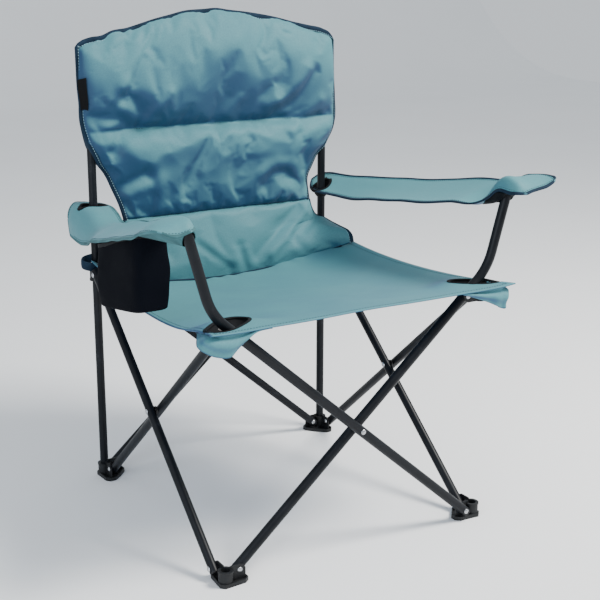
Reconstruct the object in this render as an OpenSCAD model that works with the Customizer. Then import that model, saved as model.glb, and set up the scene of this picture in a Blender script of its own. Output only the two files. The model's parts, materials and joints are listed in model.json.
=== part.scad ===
// Folding camp chair: four scissor pairs between four identical foot mouldings,
// two rear posts with sliders, bent arm tubes and a padded fabric seat and back.
// Front faces -Y, left is -X, the ground is z = 0. All lengths in millimetres.

/* [Scissor frame] */
// Distance between the two foot pivots of one scissor pair
pivot_span = 540; // [500:5:580]
// Lean of each scissor tube from the vertical, chair open
lean_angle = 49; // [44:0.5:52]
// Height of the foot pivots above the ground
foot_pivot_z = 24; // [23:0.5:30]
// Distance from a hub axis to the pivots on its two ears
ear_reach = 31; // [30:0.5:38]

/* [Tubes] */
// Outer diameter of the side and back tubes
side_tube_d = 19; // [16:0.5:20]
// Outer diameter of the two bent front tubes
front_tube_d = 20; // [16:0.5:20]
// Outer diameter of the rear posts
post_d = 19; // [16:0.5:20]
// Wall of every tube
tube_wall = 1.2; // [0.8:0.1:2]
// Length of bare tube past a pivot
tube_tail = 9; // [7.5:0.5:10]
// Height of the rear post tops
post_top_z = 985; // [900:5:1020]

/* [Arm tubes] */
// Straight length of a front tube between its upper pivot and the bend
bend_start = 42; // [30:1:60]
// Centre-line radius of the arm bend
bend_r = 120; // [80:5:160]
// Outward lean of the arm post above the bend
arm_lean = 16; // [5:1:25]
// Straight length of the arm post above the bend
arm_post_len = 140; // [100:5:180]

/* [Feet] */
// Outer diameter of a foot hub
hub_d = 29; // [26:0.5:31]
// Height of a foot hub
hub_h = 31; // [26:1:40]
// Thickness of the base plate and of the socket floor
base_t = 4.5; // [3:0.5:6]
// Height of the rim round the base plate
rim_h = 8.5; // [5:0.5:8.5]
// Thickness of that rim
rim_t = 2.6; // [2:0.2:4]
// Reach of the base plate along each ear
base_reach = 47; // [44:1:56]
// Thickness of an ear plate
ear_t = 3; // [2.5:0.5:4]
// Radius of an ear round its pivot
ear_r = 12; // [9:0.5:14]
// Depth of the lip round the socket mouth
lip_h = 4; // [2:0.5:6]

/* [Sliders and corner brackets] */
// Height of a slider collar
slider_h = 36; // [28:1:50]
// Sliding clearance round the post
slider_fit = 0.3; // [0.2:0.05:0.6]
// Diameter of a bracket's corner boss
boss_d = 18; // [12:1:20]

/* [Rivets] */
// Rivet shank diameter
rivet_d = 6; // [4:0.5:7]
// Rivet head diameter
head_d = 11; // [8:0.5:13]
// Rivet head height
head_h = 2.4; // [1.5:0.1:3.5]
// Running clearance round a shank
pin_fit = 0.05; // [0.03:0.01:0.1]

/* [Seat] */
// Half width of the seat sheet
seat_half_w = 330; // [326:1:345]
// Front edge of the seat, measured from the hub centre line
seat_nose = 38; // [34:1:45]
// Thickness of the seat sheet
seat_t = 5; // [3:0.5:8]
// Height of the seat corners above the upper pivots
seat_lift = 21; // [20:0.5:26]
// Sag of the seat at its rear middle
seat_sag = 52; // [20:1:70]
// Sag of the two side edges
edge_sag = 22; // [0:1:30]
// Distance from the seat's rear edge to the rear hub centre line
rear_gap = 68; // [60:1:80]
// Length of the slots for the arm tubes
hole_l = 104; // [90:1:110]
// Width of the slots for the arm tubes
hole_w = 36; // [32:1:40]
// Height of the rear corner loops round the posts
loop_band = 22; // [16:1:30]
// Width of the tongues between the seat and those loops
tongue_w = 42; // [34:1:48]

/* [Backrest] */
// Thickness of the padded back
back_t = 26; // [20:1:36]
// Half width across the shoulders
back_half_w = 330; // [324:1:345]
// Height of the shoulder corners
shoulder_z = 996; // [970:1:1010]
// Height of the arched top
back_top_z = 1066; // [1040:1:1090]

/* [Armrests] */
// Width of the arm sheet at its widest
arm_w = 122; // [90:1:140]
// Thickness of the arm sheet
arm_t = 9; // [5:1:14]
// Height of the upper edge of both rear arm loops
loop_z = 654; // [600:1:680]
// Height of the right rear loop, whose arm lies tilted
loop_h_right = 38; // [30:1:90]
// Height of the left rear loop, whose arm hangs down with the pouch
loop_h_left = 82; // [40:1:90]
// Reach of the arms past the hub centre lines, at the loop and at the tip
arm_over = 47; // [40:1:60]

/* [Pouch] */
// Pouch size across the chair
pouch_w = 66; // [50:1:90]
// Pouch size front to back
pouch_l = 170; // [100:5:190]
// Pouch depth
pouch_h = 115; // [100:5:160]
// Pouch wall
pouch_wall = 4; // [2:0.5:6]

/* [Hidden] */
$fn = 96;

// Clearances between pieces
lay_gap = 0.3;    // tube to ear plate
head_gap = 0.15;  // rivet head to tube
soft_gap = 0.6;   // soft solid to frame
hang_gap = 2.4;   // pouch to the twisted underside of the arm
socket_fit = 0.1; // post in its socket
plug_fit = 0.05;  // plug in its tube
seam_lap = 1;      // arm post into the end of the bend
seam_step = 0.05;  // arm post inside the bend's surfaces
cap_t = 2.5;      // tube end cap

// Frame positions
tube_len = pivot_span / sin(lean_angle);
rise = pivot_span / tan(lean_angle);
top_pivot_z = foot_pivot_z + rise;
half = pivot_span / 2;
hub = half + ear_reach;
shank_r = rivet_d / 2;
hole_r = shank_r + pin_fit;
slider_top_z = top_pivot_z + slider_h / 2 - 2;

// Distance of a tube's centre plane from its ear plate's middle plane
function lay(d) = ear_t / 2 + lay_gap + d / 2;
// Gap between two crossing tubes of diameter d
function cross_gap(d) = 2 * lay(d) - d;

// Tube of outer radius r_out and inner radius r_in, standing on z = 0
module ring(r_out, r_in, h) {
  difference() { cylinder(r = r_out, h = h); translate([0, 0, -1]) cylinder(r = r_in, h = h + 2); }
}

// ---------- tubes ----------
// Straight tube: lower pivot at the origin, upper pivot at z = tube_len, pins along Y
module straight_tube(d) {
  difference() {
    translate([0, 0, -tube_tail]) cylinder(d = d, h = tube_len + 2 * tube_tail);
    translate([0, 0, -tube_tail - 1])
      cylinder(d = d - 2 * tube_wall, h = tube_len + 2 * tube_tail + 2);
    for (z = [0, tube_len / 2, tube_len])
      translate([0, d, z]) rotate([90, 0, 0]) cylinder(r = hole_r, h = 2 * d);
  }
}

bend_angle = lean_angle - arm_lean;
bend_z = tube_len + bend_start;
// Places children at the upper end of the bend, +Z along the arm post
module at_bend_end() {
  translate([-bend_r, 0, bend_z]) rotate([0, -bend_angle, 0]) translate([bend_r, 0, 0]) children();
}

// Front tube with its arm post: straight run, bend and post, face to face
module bent_tube(d) {
  r_in = d / 2 - tube_wall;
  difference() {
    union() {
      translate([0, 0, -tube_tail]) ring(d / 2, r_in, bend_z + tube_tail);
      translate([-bend_r, 0, bend_z]) rotate([90, 0, 0])
        rotate_extrude(angle = bend_angle) translate([bend_r, 0]) difference() {
          circle(d = d);
          circle(r = r_in);
        }
      at_bend_end() translate([0, 0, -seam_lap])
        ring(d / 2 - seam_step, r_in + seam_step, arm_post_len + seam_lap);
    }
    for (z = [0, tube_len / 2, tube_len])
      translate([0, d, z]) rotate([90, 0, 0]) cylinder(r = hole_r, h = 2 * d);
  }
}

// End plug: rounded cap on a stem that enters the tube, cap face at z = 0 outwards +Z
module plug(d) {
  stem = min(5, tube_tail - shank_r - 0.5);
  rotate_extrude() union() {
    translate([0, -stem]) square([d / 2 - tube_wall - plug_fit, stem + 0.01]);
    square([d / 2 - cap_t + 0.01, cap_t]);
    intersection() {
      translate([d / 2 - cap_t, 0]) circle(r = cap_t);
      square([d / 2, cap_t]);
    }
  }
}

// Places a scissor tube's children: lower pivot at p, leaning towards azimuth az
module lean(p, az) { translate(p) rotate([0, 0, az]) rotate([0, lean_angle, 0]) children(); }
module plugs_straight(d) {
  translate([0, 0, -tube_tail]) rotate([180, 0, 0]) plug(d);
  translate([0, 0, tube_len + tube_tail]) plug(d);
}
module plugs_bent(d) {
  translate([0, 0, -tube_tail]) rotate([180, 0, 0]) plug(d);
  at_bend_end() translate([0, 0, arm_post_len]) plug(d);
}

lf = lay(front_tube_d);
ls = lay(side_tube_d);
p_front_a = [-half, -hub + lf, foot_pivot_z];
p_front_b = [half, -hub - lf, foot_pivot_z];
p_back_a = [-half, hub + ls, foot_pivot_z];
p_back_b = [half, hub - ls, foot_pivot_z];
p_left_in = [-hub + ls, half, foot_pivot_z];
p_left_out = [-hub - ls, -half, foot_pivot_z];
p_right_out = [hub + ls, half, foot_pivot_z];
p_right_in = [hub - ls, -half, foot_pivot_z];

// ---------- rivets ----------
// Domed rivet along +Y from y = 0 (under its first head) to y = grip (under its second)
module rivet(grip) {
  dome = (pow(head_d / 2, 2) + head_h * head_h) / (2 * head_h);
  rotate([-90, 0, 0]) {
    cylinder(r = shank_r, h = grip);
    for (k = [0, 1]) translate([0, 0, k * grip]) rotate([k * 180 + 180, 0, 0])
      rotate_extrude() intersection() {
        translate([0, head_h - dome]) circle(r = dome);
        square([head_d / 2, head_h]);
      }
  }
}
// Rivet through an ear plate and the tube of diameter d beside it on the +Y side
module ear_rivet(d) { translate([0, -ear_t / 2, 0]) rivet(ear_t + lay_gap + d + head_gap); }

// Rivets of one corner: children order follows the ears along +X and +Y
// out_x true: the tube of the X ear lies outside the chair, and the Y ear's inside
module corner_rivets(z, d_x, d_y, out_x) {
  translate([ear_reach, 0, z]) mirror([0, out_x ? 1 : 0, 0]) ear_rivet(d_x);
  translate([0, ear_reach, z]) rotate([0, 0, 90]) mirror([0, out_x ? 1 : 0, 0])
    ear_rivet(d_y);
}

// Rivet and spacer of a crossing: y = 0 is the ear plane, tubes at +-lay(d)
module cross_rivet(d) {
  grip = cross_gap(d) + 2 * d + 2 * head_gap;
  translate([0, -grip / 2, 0]) rivet(grip);
}
module cross_spacer(d) {
  t = cross_gap(d) - 2 * lay_gap;
  translate([0, t / 2, 0]) rotate([90, 0, 0]) ring(rivet_d * 1.35, hole_r, t);
}
module at_cross(x, y, az) {
  translate([x, y, foot_pivot_z + rise / 2]) rotate([0, 0, az]) children();
}

// ---------- mouldings ----------
// Ear plate along +X in the plane y = 0, from the hub to round its pivot at height z
module ear_plate(z, z_low, r) {
  difference() {
    union() {
      translate([0, ear_t / 2, 0]) rotate([90, 0, 0]) linear_extrude(ear_t) union() {
        translate([ear_reach, z]) circle(r = r);
        translate([0, z_low]) square([ear_reach + r, z - z_low]);
        polygon([[0, z + r], [ear_reach, z + r], [ear_reach, z], [0, z]]);
      }
    }
    translate([ear_reach, ear_t, z]) rotate([90, 0, 0]) cylinder(r = hole_r, h = 2 * ear_t);
  }
}

// Outline of the base plate, ears along +X and +Y
module base_outline() {
  k = hub_d / 2 + 1.5;
  e = base_reach;
  polygon([[-k, -k / 2], [-k / 2, -k], [e - 10, -k + 3], [e, -5], [e, 8],
    [e * 0.62, e * 0.62], [8, e], [-5, e], [-k + 3, e - 10]]);
}

// Foot moulding with its hub at the origin and its ears along +X and +Y
module foot() {
  color([0.07, 0.07, 0.08]) difference() {
    union() {
      difference() {
        linear_extrude(rim_h) base_outline();
        translate([0, 0, base_t]) linear_extrude(rim_h) offset(delta = -rim_t) base_outline();
      }
      cylinder(d = hub_d, h = hub_h);
      translate([0, 0, hub_h - lip_h]) cylinder(d = hub_d + 2, h = lip_h);
      ear_plate(foot_pivot_z, 0, ear_r);
      mirror([1, -1, 0]) ear_plate(foot_pivot_z, 0, ear_r);
      // web that ties the two ears across the base
      translate([0, 0, base_t / 2]) rotate([0, 0, 45])
        translate([0, -ear_t / 2, 0]) cube([base_reach * 0.72, ear_t, base_t / 2 + 3]);
    }
    translate([0, 0, base_t]) cylinder(d = post_d + 2 * socket_fit, h = hub_h + ear_r);
  }
}
module at_corner(sx, sy) {
  az = sy < 0 ? (sx < 0 ? 0 : 90) : (sx > 0 ? 180 : 270);
  translate([sx * hub, sy * hub, 0]) rotate([0, 0, az]) children();
}

// Slider collar with two ears, on the post at the origin
module slider() {
  z0 = slider_top_z - slider_h;
  color([0.08, 0.08, 0.09]) difference() {
    union() {
      translate([0, 0, z0]) cylinder(d = hub_d, h = slider_h);
      translate([0, 0, z0]) cylinder(d = hub_d + 2, h = lip_h);
      ear_plate(top_pivot_z, z0, ear_r - 1);
      mirror([1, -1, 0]) ear_plate(top_pivot_z, z0, ear_r - 1);
    }
    translate([0, 0, z0 - 1]) cylinder(d = post_d + 2 * slider_fit, h = slider_h + 2);
  }
}

// Corner bracket under a front seat corner
module bracket() {
  z0 = top_pivot_z - 13;
  color([0.08, 0.08, 0.09]) difference() {
    union() {
      translate([0, 0, z0]) cylinder(d = boss_d, h = 16);
      bracket_ear(z0);
      mirror([1, -1, 0]) bracket_ear(z0);
    }
    translate([0, 0, z0 - 1]) cylinder(d = boss_d - 8, h = 10);
  }
}
module bracket_ear(z0) {
  r = ear_r - 1;
  difference() {
    translate([0, ear_t / 2, 0]) rotate([90, 0, 0]) linear_extrude(ear_t) union() {
      translate([ear_reach, top_pivot_z]) circle(r = r);
      translate([0, z0]) square([ear_reach, 16]);
    }
    translate([ear_reach, ear_t, top_pivot_z]) rotate([90, 0, 0])
      cylinder(r = hole_r, h = 2 * ear_t);
  }
}

// ---------- soft goods ----------
seat_z = top_pivot_z + seat_lift;
seat_front = -hub - seat_nose;
seat_rear = hub - rear_gap;
function ramp(t) = t <= 0 ? 0 : t >= 1 ? 1 : t * t * (3 - 2 * t);
function bump(s) = pow(sin(180 * ramp((s - 0.17) / 0.66)), 2);
function seat_top(x, s) =
  let (zc = seat_z - seat_sag * sin(90 * ramp(s)), ze = seat_z - edge_sag * bump(s),
       k = 1 - pow(abs(x) / seat_half_w, 2.5))
  ze + (zc - ze) * k;
seat_nx = 22;
seat_ny = 20;
// Sagging sheet: a grid of quads above, the same below and a skirt round the rim
module seat_sheet() {
  nx = seat_nx;
  ny = seat_ny;
  top = [for (j = [0:ny]) for (i = [0:nx])
    let (x = seat_half_w * (2 * i / nx - 1), s = j / ny)
    [x, seat_front + (seat_rear - seat_front) * s, seat_top(x, s)]];
  low = [for (p = top) [p[0], p[1], p[2] - seat_t]];
  n = len(top);
  function id(i, j) = j * (nx + 1) + i;
  quads = [for (j = [0:ny - 1]) for (i = [0:nx - 1])
    [id(i, j), id(i, j + 1), id(i + 1, j + 1), id(i + 1, j)]];
  rim = concat([for (i = [0:nx]) id(i, 0)], [for (j = [1:ny]) id(nx, j)],
    [for (i = [1:nx]) id(nx - i, ny)], [for (j = [1:ny - 1]) id(0, ny - j)]);
  m = len(rim);
  faces = concat(
    [for (q = quads) each [[q[0], q[1], q[2]], [q[0], q[2], q[3]]]],
    [for (q = quads) each [[q[2] + n, q[1] + n, q[0] + n], [q[3] + n, q[2] + n, q[0] + n]]],
    [for (k = [0:m - 1]) let (a = rim[k], b = rim[(k + 1) % m])
      each [[a, b, b + n], [a, b + n, a + n]]]);
  polyhedron(concat(top, low), faces);
}
slot_cut = 2 * seat_lift + seat_t;
// Slot in a front seat corner for the arm tube, centred at x, y
module tube_slot(x, y) {
  translate([x, y, seat_z - slot_cut]) linear_extrude(2 * slot_cut) union() {
    square([hole_l - hole_w, hole_w], center = true);
    for (k = [-1, 1]) translate([k * (hole_l - hole_w) / 2, 0]) circle(d = hole_w);
  }
}
// Pocket walls that hang round a front corner bracket
module corner_pocket(sx) {
  wall = 5;
  drop = 40;
  x1 = seat_half_w;
  span = hub - half + 2 * seat_nose - 10;
  translate([sx > 0 ? half - 12 : -x1, seat_front, seat_z - drop])
    cube([x1 - half + 12, wall, drop - seat_t / 2]);
  translate([sx > 0 ? x1 - wall : -x1, seat_front, seat_z - drop])
    cube([wall, span, drop - seat_t / 2]);
}
// Loop of a rear seat corner round its post, just above the slider
module rear_loop(sx) {
  r = post_d / 2 + soft_gap;
  z = slider_top_z + soft_gap;
  translate([sx * hub, hub, z]) difference() {
    union() {
      cylinder(r = r + 7, h = loop_band);
      translate([-tongue_w / 2 - sx * 3, -rear_gap - 6, 0]) cube([tongue_w, rear_gap, 10]);
    }
    translate([0, 0, -1]) cylinder(r = r, h = loop_band + 2);
  }
}
module seat() {
  color([0.36, 0.55, 0.57]) {
    difference() {
      seat_sheet();
      tube_slot(half - 2, -hub + lf);
      tube_slot(-half + 2, -hub - lf);
    }
    for (sx = [-1, 1]) corner_pocket(sx);
    for (sx = [-1, 1]) rear_loop(sx);
  }
}

// Back: three quilted panels, the upper one sleeved over both posts
seam_hi = 808;
seam_lo = 606;
back_y = hub - 6;
module back_slab(pts) {
  translate([0, back_t / 2, 0]) rotate([90, 0, 0]) linear_extrude(back_t)
    polygon(concat(pts, [for (i = [len(pts) - 1:-1:0]) [-pts[i][0], pts[i][1]]]));
}
module backrest() {
  w = back_half_w;
  color([0.33, 0.49, 0.58]) difference() {
    union() {
      translate([0, back_y, 0]) back_slab(concat(
        [[0.5, back_top_z], [w * 0.35, back_top_z - 7], [w * 0.72, shoulder_z + 34],
         [w * 0.95, shoulder_z + 8], [w, shoulder_z - 6]],
        [[w, seam_hi + 22], [w - 12, seam_hi]]));
      translate([0, back_y, seam_hi]) rotate([-2, 0, 0]) translate([0, 0, -seam_hi])
        back_slab([[w - 12, seam_hi + 4], [w - 30, seam_hi - 48], [hub - 34, seam_hi - 108],
          [hub - 54, seam_hi - 153], [hub - 58, seam_lo]]);
      translate([0, back_y - 7, seam_lo]) rotate([-14, 0, 0]) translate([0, 0, -seam_lo])
        back_slab([[hub - 58, seam_lo + 4], [hub - 44, seam_lo - 60], [hub - 40, seam_lo - 110],
          [hub - 60, seam_lo - 140]]);
    }
    for (sx = [-1, 1]) translate([sx * hub, hub, 0])
      cylinder(r = post_d / 2 + soft_gap, h = post_top_z + cap_t + soft_gap);
  }
}

// Arm sheet: sections from the rear loop (upright) to the front (flat)
// each row: y, centre x, centre z, width, roll from flat
arm_post_x = half + bend_start * sin(lean_angle)
  + bend_r * (cos(arm_lean) - cos(lean_angle)) + arm_post_len * sin(arm_lean);
arm_post_z = top_pivot_z + bend_start * cos(lean_angle)
  + bend_r * (sin(lean_angle) - sin(arm_lean)) + arm_post_len * cos(arm_lean);
arm_top_z = arm_post_z + cap_t * cos(arm_lean) + front_tube_d / 2 * sin(arm_lean) + soft_gap;
arm_front = [
  [-hub + 106, arm_post_x + 20, arm_top_z - 24, arm_w - 2, 12],
  [-hub + 39, arm_post_x + 14, arm_top_z + arm_t / 2 + 4, arm_w - 2, 8],
  [-hub - arm_over + 13, arm_post_x + 14, arm_top_z + arm_t / 2 + 4, arm_w - 14, 8],
  [-hub - arm_over, arm_post_x + 14, arm_top_z + arm_t / 2 + 4, arm_w - 50, 8]];
rows_right = concat([
  [hub - 30, hub + 15, loop_z - 13, arm_w - 50, 32],
  [hub - 110, hub + 41, loop_z - 12, arm_w - 30, 30],
  [hub - 210, hub + 67, loop_z - 3, arm_w - 12, 26],
  [hub - 330, hub + 83, loop_z + 7, arm_w - 4, 22],
  [hub - 420, hub + 93, loop_z + 24, arm_w, 18]], arm_front);
rows_left = concat([
  [hub - 30, hub + 14, loop_z - 45, arm_w - 24, -54],
  [hub - 110, hub + 21, loop_z - 48, arm_w - 32, -24],
  [hub - 210, hub + 40, loop_z - 20, arm_w - 16, -18],
  [hub - 330, hub + 56, loop_z + 3, arm_w - 10, -12],
  [hub - 420, hub + 70, loop_z + 25, arm_w - 2, -5]], arm_front);
arm_steps = 5;
// Row number t of an arm, from 0 at the loop to arm_n at the tip
arm_n = (len(arm_front) + 4) * arm_steps;
function arm_row(rows, t) = let (i = min(floor(t / arm_steps), len(rows) - 2),
  k = t / arm_steps - i) rows[i] * (1 - k) + rows[i + 1] * k;
// Height of the left arm's lower face at x, on row t
function arm_under(x, t) = let (r = arm_row(rows_left, t))
  r[2] + (x - r[1]) * tan(r[4]) - arm_t / 2 / cos(r[4]);
function arm_section(r) = [for (c = [[-1, -1], [1, -1], [1, 1], [-1, 1]])
  let (u = c[0] * r[3] / 2, v = c[1] * arm_t / 2)
  [r[1] + u * cos(r[4]) - v * sin(r[4]), r[0], r[2] + u * sin(r[4]) + v * cos(r[4])]];
// Closed sweep through n + 1 four-point sections
module sweep4(pts, n) {
  faces = concat([[0, 1, 2], [0, 2, 3]],
    [for (i = [0:n - 1]) for (k = [0:3]) let (a = 4 * i + k, b = 4 * i + (k + 1) % 4)
      each [[a, a + 4, b + 4], [a, b + 4, b]]],
    [[4 * n, 4 * n + 2, 4 * n + 1], [4 * n, 4 * n + 3, 4 * n + 2]]);
  polyhedron(pts, faces);
}
module arm_sheet(rows) {
  sweep4([for (t = [0:arm_n]) each arm_section(arm_row(rows, t))], arm_n);
}
module arm_loop(loop_h) {
  r = post_d / 2 + soft_gap;
  translate([hub, hub, loop_z - loop_h]) linear_extrude(loop_h) difference() {
    union() {
      circle(r = r + 8);
      translate([-10, 0]) square([32, arm_over]);
      translate([-2, -34]) square([16, 34]);
    }
    circle(r = r);
    translate([-3, 12]) square([18, 24]);
  }
}
module arm(rows, loop_h) {
  color([0.36, 0.56, 0.58]) union() { arm_sheet(rows); arm_loop(loop_h); }
}

// Pouch under the left arm: open at the top, sewn to the arm along its inner wall
pouch_x = seat_half_w + 20;
pouch_top = loop_z - 27;
pouch_t0 = 14;
pouch_t1 = 20;
module pouch() {
  y0 = -pouch_l + 16;
  color([0.09, 0.10, 0.14]) mirror([1, 0, 0]) union() {
    difference() {
      translate([pouch_x, y0, pouch_top - pouch_h]) cube([pouch_w, pouch_l, pouch_h]);
      translate([pouch_x + pouch_wall, y0 + pouch_wall, pouch_top - pouch_h + pouch_wall])
        cube([pouch_w - 2 * pouch_wall, pouch_l - 2 * pouch_wall, pouch_h]);
    }
    sweep4([for (t = [pouch_t0:pouch_t1]) let (y = arm_row(rows_left, t)[0], x1 = pouch_x + pouch_wall)
      each [[pouch_x, y, pouch_top - 8], [x1, y, pouch_top - 8],
        [x1, y, arm_under(x1, t) - hang_gap], [pouch_x, y, arm_under(pouch_x, t) - hang_gap]]],
      pouch_t1 - pouch_t0);
  }
}

// Bare woven tag in the left side seam of the back
module label() {
  color([0.05, 0.05, 0.06])
    translate([-back_half_w - 2, back_y - back_t / 2 - 2, 848]) cube([26, 1.6, 84]);
}

module post() {
  color([0.10, 0.10, 0.12]) translate([0, 0, base_t + 0.1])
    ring(post_d / 2, post_d / 2 - tube_wall, post_top_z - base_t - 0.1);
}
tube_color = [0.13, 0.14, 0.17];
plug_color = [0.06, 0.06, 0.07];
rivet_color = [0.75, 0.76, 0.78];

at_corner(-1, -1) foot();  // foot_front_left
at_corner(1, -1) foot();  // foot_front_right
at_corner(-1, 1) foot();  // foot_rear_left
at_corner(1, 1) foot();  // foot_rear_right
translate([-hub, hub, 0]) post();  // post_left
translate([hub, hub, 0]) post();  // post_right
color(plug_color) translate([-hub, hub, post_top_z]) plug(post_d);  // post_cap_left
color(plug_color) translate([hub, hub, post_top_z]) plug(post_d);  // post_cap_right
color(tube_color) lean(p_front_a, 0) bent_tube(front_tube_d);  // front_tube_a
color(tube_color) lean(p_front_b, 180) bent_tube(front_tube_d);  // front_tube_b
color(tube_color) lean(p_back_a, 0) straight_tube(side_tube_d);  // back_tube_a
color(tube_color) lean(p_back_b, 180) straight_tube(side_tube_d);  // back_tube_b
color(tube_color) lean(p_left_in, -90) straight_tube(side_tube_d);  // side_tube_left_inner
color(tube_color) lean(p_left_out, 90) straight_tube(side_tube_d);  // side_tube_left_outer
color(tube_color) lean(p_right_out, -90) straight_tube(side_tube_d);  // side_tube_right_outer
color(tube_color) lean(p_right_in, 90) straight_tube(side_tube_d);  // side_tube_right_inner
color(plug_color) lean(p_front_a, 0) plugs_bent(front_tube_d);  // plugs_front_a
color(plug_color) lean(p_front_b, 180) plugs_bent(front_tube_d);  // plugs_front_b
color(plug_color) lean(p_back_a, 0) plugs_straight(side_tube_d);  // plugs_back_a
color(plug_color) lean(p_back_b, 180) plugs_straight(side_tube_d);  // plugs_back_b
color(plug_color) lean(p_left_in, -90) plugs_straight(side_tube_d);  // plugs_left_inner
color(plug_color) lean(p_left_out, 90) plugs_straight(side_tube_d);  // plugs_left_outer
color(plug_color) lean(p_right_out, -90) plugs_straight(side_tube_d);  // plugs_right_outer
color(plug_color) lean(p_right_in, 90) plugs_straight(side_tube_d);  // plugs_right_inner
at_corner(-1, 1) slider();  // slider_left
at_corner(1, 1) slider();  // slider_right
at_corner(-1, -1) bracket();  // bracket_left
at_corner(1, -1) bracket();  // bracket_right
color(rivet_color)  // rivets_foot_front_left
  at_corner(-1, -1) corner_rivets(foot_pivot_z, front_tube_d, side_tube_d, false);
color(rivet_color)  // rivets_foot_front_right
  at_corner(1, -1) corner_rivets(foot_pivot_z, side_tube_d, front_tube_d, false);
color(rivet_color)  // rivets_foot_rear_left
  at_corner(-1, 1) corner_rivets(foot_pivot_z, side_tube_d, side_tube_d, false);
color(rivet_color)  // rivets_foot_rear_right
  at_corner(1, 1) corner_rivets(foot_pivot_z, side_tube_d, side_tube_d, false);
color(rivet_color)  // rivets_slider_left
  at_corner(-1, 1) corner_rivets(top_pivot_z, side_tube_d, side_tube_d, true);
color(rivet_color)  // rivets_slider_right
  at_corner(1, 1) corner_rivets(top_pivot_z, side_tube_d, side_tube_d, true);
color(rivet_color)  // rivets_bracket_left
  at_corner(-1, -1) corner_rivets(top_pivot_z, front_tube_d, side_tube_d, true);
color(rivet_color)  // rivets_bracket_right
  at_corner(1, -1) corner_rivets(top_pivot_z, side_tube_d, front_tube_d, true);
color(rivet_color) at_cross(0, -hub, 0) cross_rivet(front_tube_d);  // rivet_cross_front
color(rivet_color) at_cross(0, hub, 0) cross_rivet(side_tube_d);  // rivet_cross_back
color(rivet_color) at_cross(-hub, 0, 90) cross_rivet(side_tube_d);  // rivet_cross_left
color(rivet_color) at_cross(hub, 0, 90) cross_rivet(side_tube_d);  // rivet_cross_right
color(plug_color) at_cross(0, -hub, 0) cross_spacer(front_tube_d);  // spacer_front
color(plug_color) at_cross(0, hub, 0) cross_spacer(side_tube_d);  // spacer_back
color(plug_color) at_cross(-hub, 0, 90) cross_spacer(side_tube_d);  // spacer_left
color(plug_color) at_cross(hub, 0, 90) cross_spacer(side_tube_d);  // spacer_right
seat();
backrest();
mirror([1, 0, 0]) arm(rows_left, loop_h_left);  // arm_left
arm(rows_right, loop_h_right);  // arm_right
pouch();
label();
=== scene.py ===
"""Folding camp chair: fabric, finishes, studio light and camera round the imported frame.

The front faces -Y, the left arm with the pouch is at -X, and the ground is z = 0. Shapes are
written in millimetres in the frame of the part and scaled to metres as their mesh is made;
lights and the node patterns' scales are in metres.
"""

import json
import logging
import math
from dataclasses import dataclass, field
from enum import Enum
from typing import Callable, Sequence

import bpy
import numpy as np
from mathutils import Matrix, Vector

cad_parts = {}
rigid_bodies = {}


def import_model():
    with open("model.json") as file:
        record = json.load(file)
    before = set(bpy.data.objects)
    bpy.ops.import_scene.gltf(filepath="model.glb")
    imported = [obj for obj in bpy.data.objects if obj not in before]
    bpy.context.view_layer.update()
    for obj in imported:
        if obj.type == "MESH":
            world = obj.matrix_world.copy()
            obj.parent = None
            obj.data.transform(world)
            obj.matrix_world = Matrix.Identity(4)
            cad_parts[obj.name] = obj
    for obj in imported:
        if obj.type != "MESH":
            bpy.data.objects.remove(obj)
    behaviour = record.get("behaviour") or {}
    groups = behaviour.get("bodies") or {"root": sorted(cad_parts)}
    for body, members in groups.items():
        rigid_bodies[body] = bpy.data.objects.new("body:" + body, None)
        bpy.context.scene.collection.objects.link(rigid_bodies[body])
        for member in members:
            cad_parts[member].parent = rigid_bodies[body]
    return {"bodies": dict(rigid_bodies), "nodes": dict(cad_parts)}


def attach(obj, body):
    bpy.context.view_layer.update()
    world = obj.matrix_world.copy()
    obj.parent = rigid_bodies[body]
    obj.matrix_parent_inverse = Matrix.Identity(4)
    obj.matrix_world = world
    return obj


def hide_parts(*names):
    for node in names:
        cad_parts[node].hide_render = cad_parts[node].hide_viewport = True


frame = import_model()

Array = np.ndarray
Colour = tuple[float, float, float]
Material, Node, Piece = bpy.types.Material, bpy.types.Node, bpy.types.Object
NodeTree, Socket = bpy.types.NodeTree, bpy.types.NodeSocket
log = logging.getLogger("camp_chair")

MM = 0.001
HUB = 301.0          # corner columns, from the middle of the chair
BACK_TOP = 1066.0    # highest point of the back
SHOULDER = 985.0     # above it the back's edges run straight up
LUMBAR_SEAM = 606.0  # between the back's lower panel and the lumbar pad
TAPE_BEND = 2.5      # furthest that a tape's fold stands off the edge
EDGE_TAPE = 5.0      # width of the tape round the arms and the slots
POST_FIT = 2.6       # from an arm post to the lower rim of its pocket
POCKET_X = 397.0     # middle of the post pockets' upper rims, from the middle of the chair
ARM_REAR = 270.0     # y where the arms start to follow their posts
WEIGHT_STEPS = 120   # even steps that a hook's weights are kept in
# LIT_SIDE is the direction of the light that is painted into the pads' cloth colour as shade
LIT_SIDE = (0.30, -0.45, 0.84)           # way that the lit side of the pads' folds faces
MIX_LOW, MIX_HIGH, MIX_RESULT = 6, 7, 2  # numbers of the Mix node's colour sockets


class Side(Enum):
    """Side of the chair, as the sign of its x."""

    LEFT = -1
    RIGHT = 1

    @property
    def tag(self) -> str:
        """The side as a lower-case word."""
        return self.name.lower()


class Carrier(Enum):
    """Bodies that fabric hangs from."""

    REAR_LEFT = "rear_left"
    REAR_RIGHT = "rear_right"
    FOOT = "foot_front_left"
    SLIDER = "slider_left"
    SLIDER_RIGHT = "slider_right"
    FRONT_A = "front_a"
    FRONT_B = "front_b"


# ---------------------------------------------------------------- curves and vectors
def ease(t: Array) -> Array:
    """Smooth ramp from 0 to 1: 3t^2 - 2t^3 on t held between 0 and 1."""
    t = np.clip(t, 0.0, 1.0)
    return t * t * (3.0 - 2.0 * t)


def bell(distance: Array, width: float) -> Array:
    """Bell curve: exp(-(distance / width)^2)."""
    return np.exp(-(distance / width) ** 2)


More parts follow.
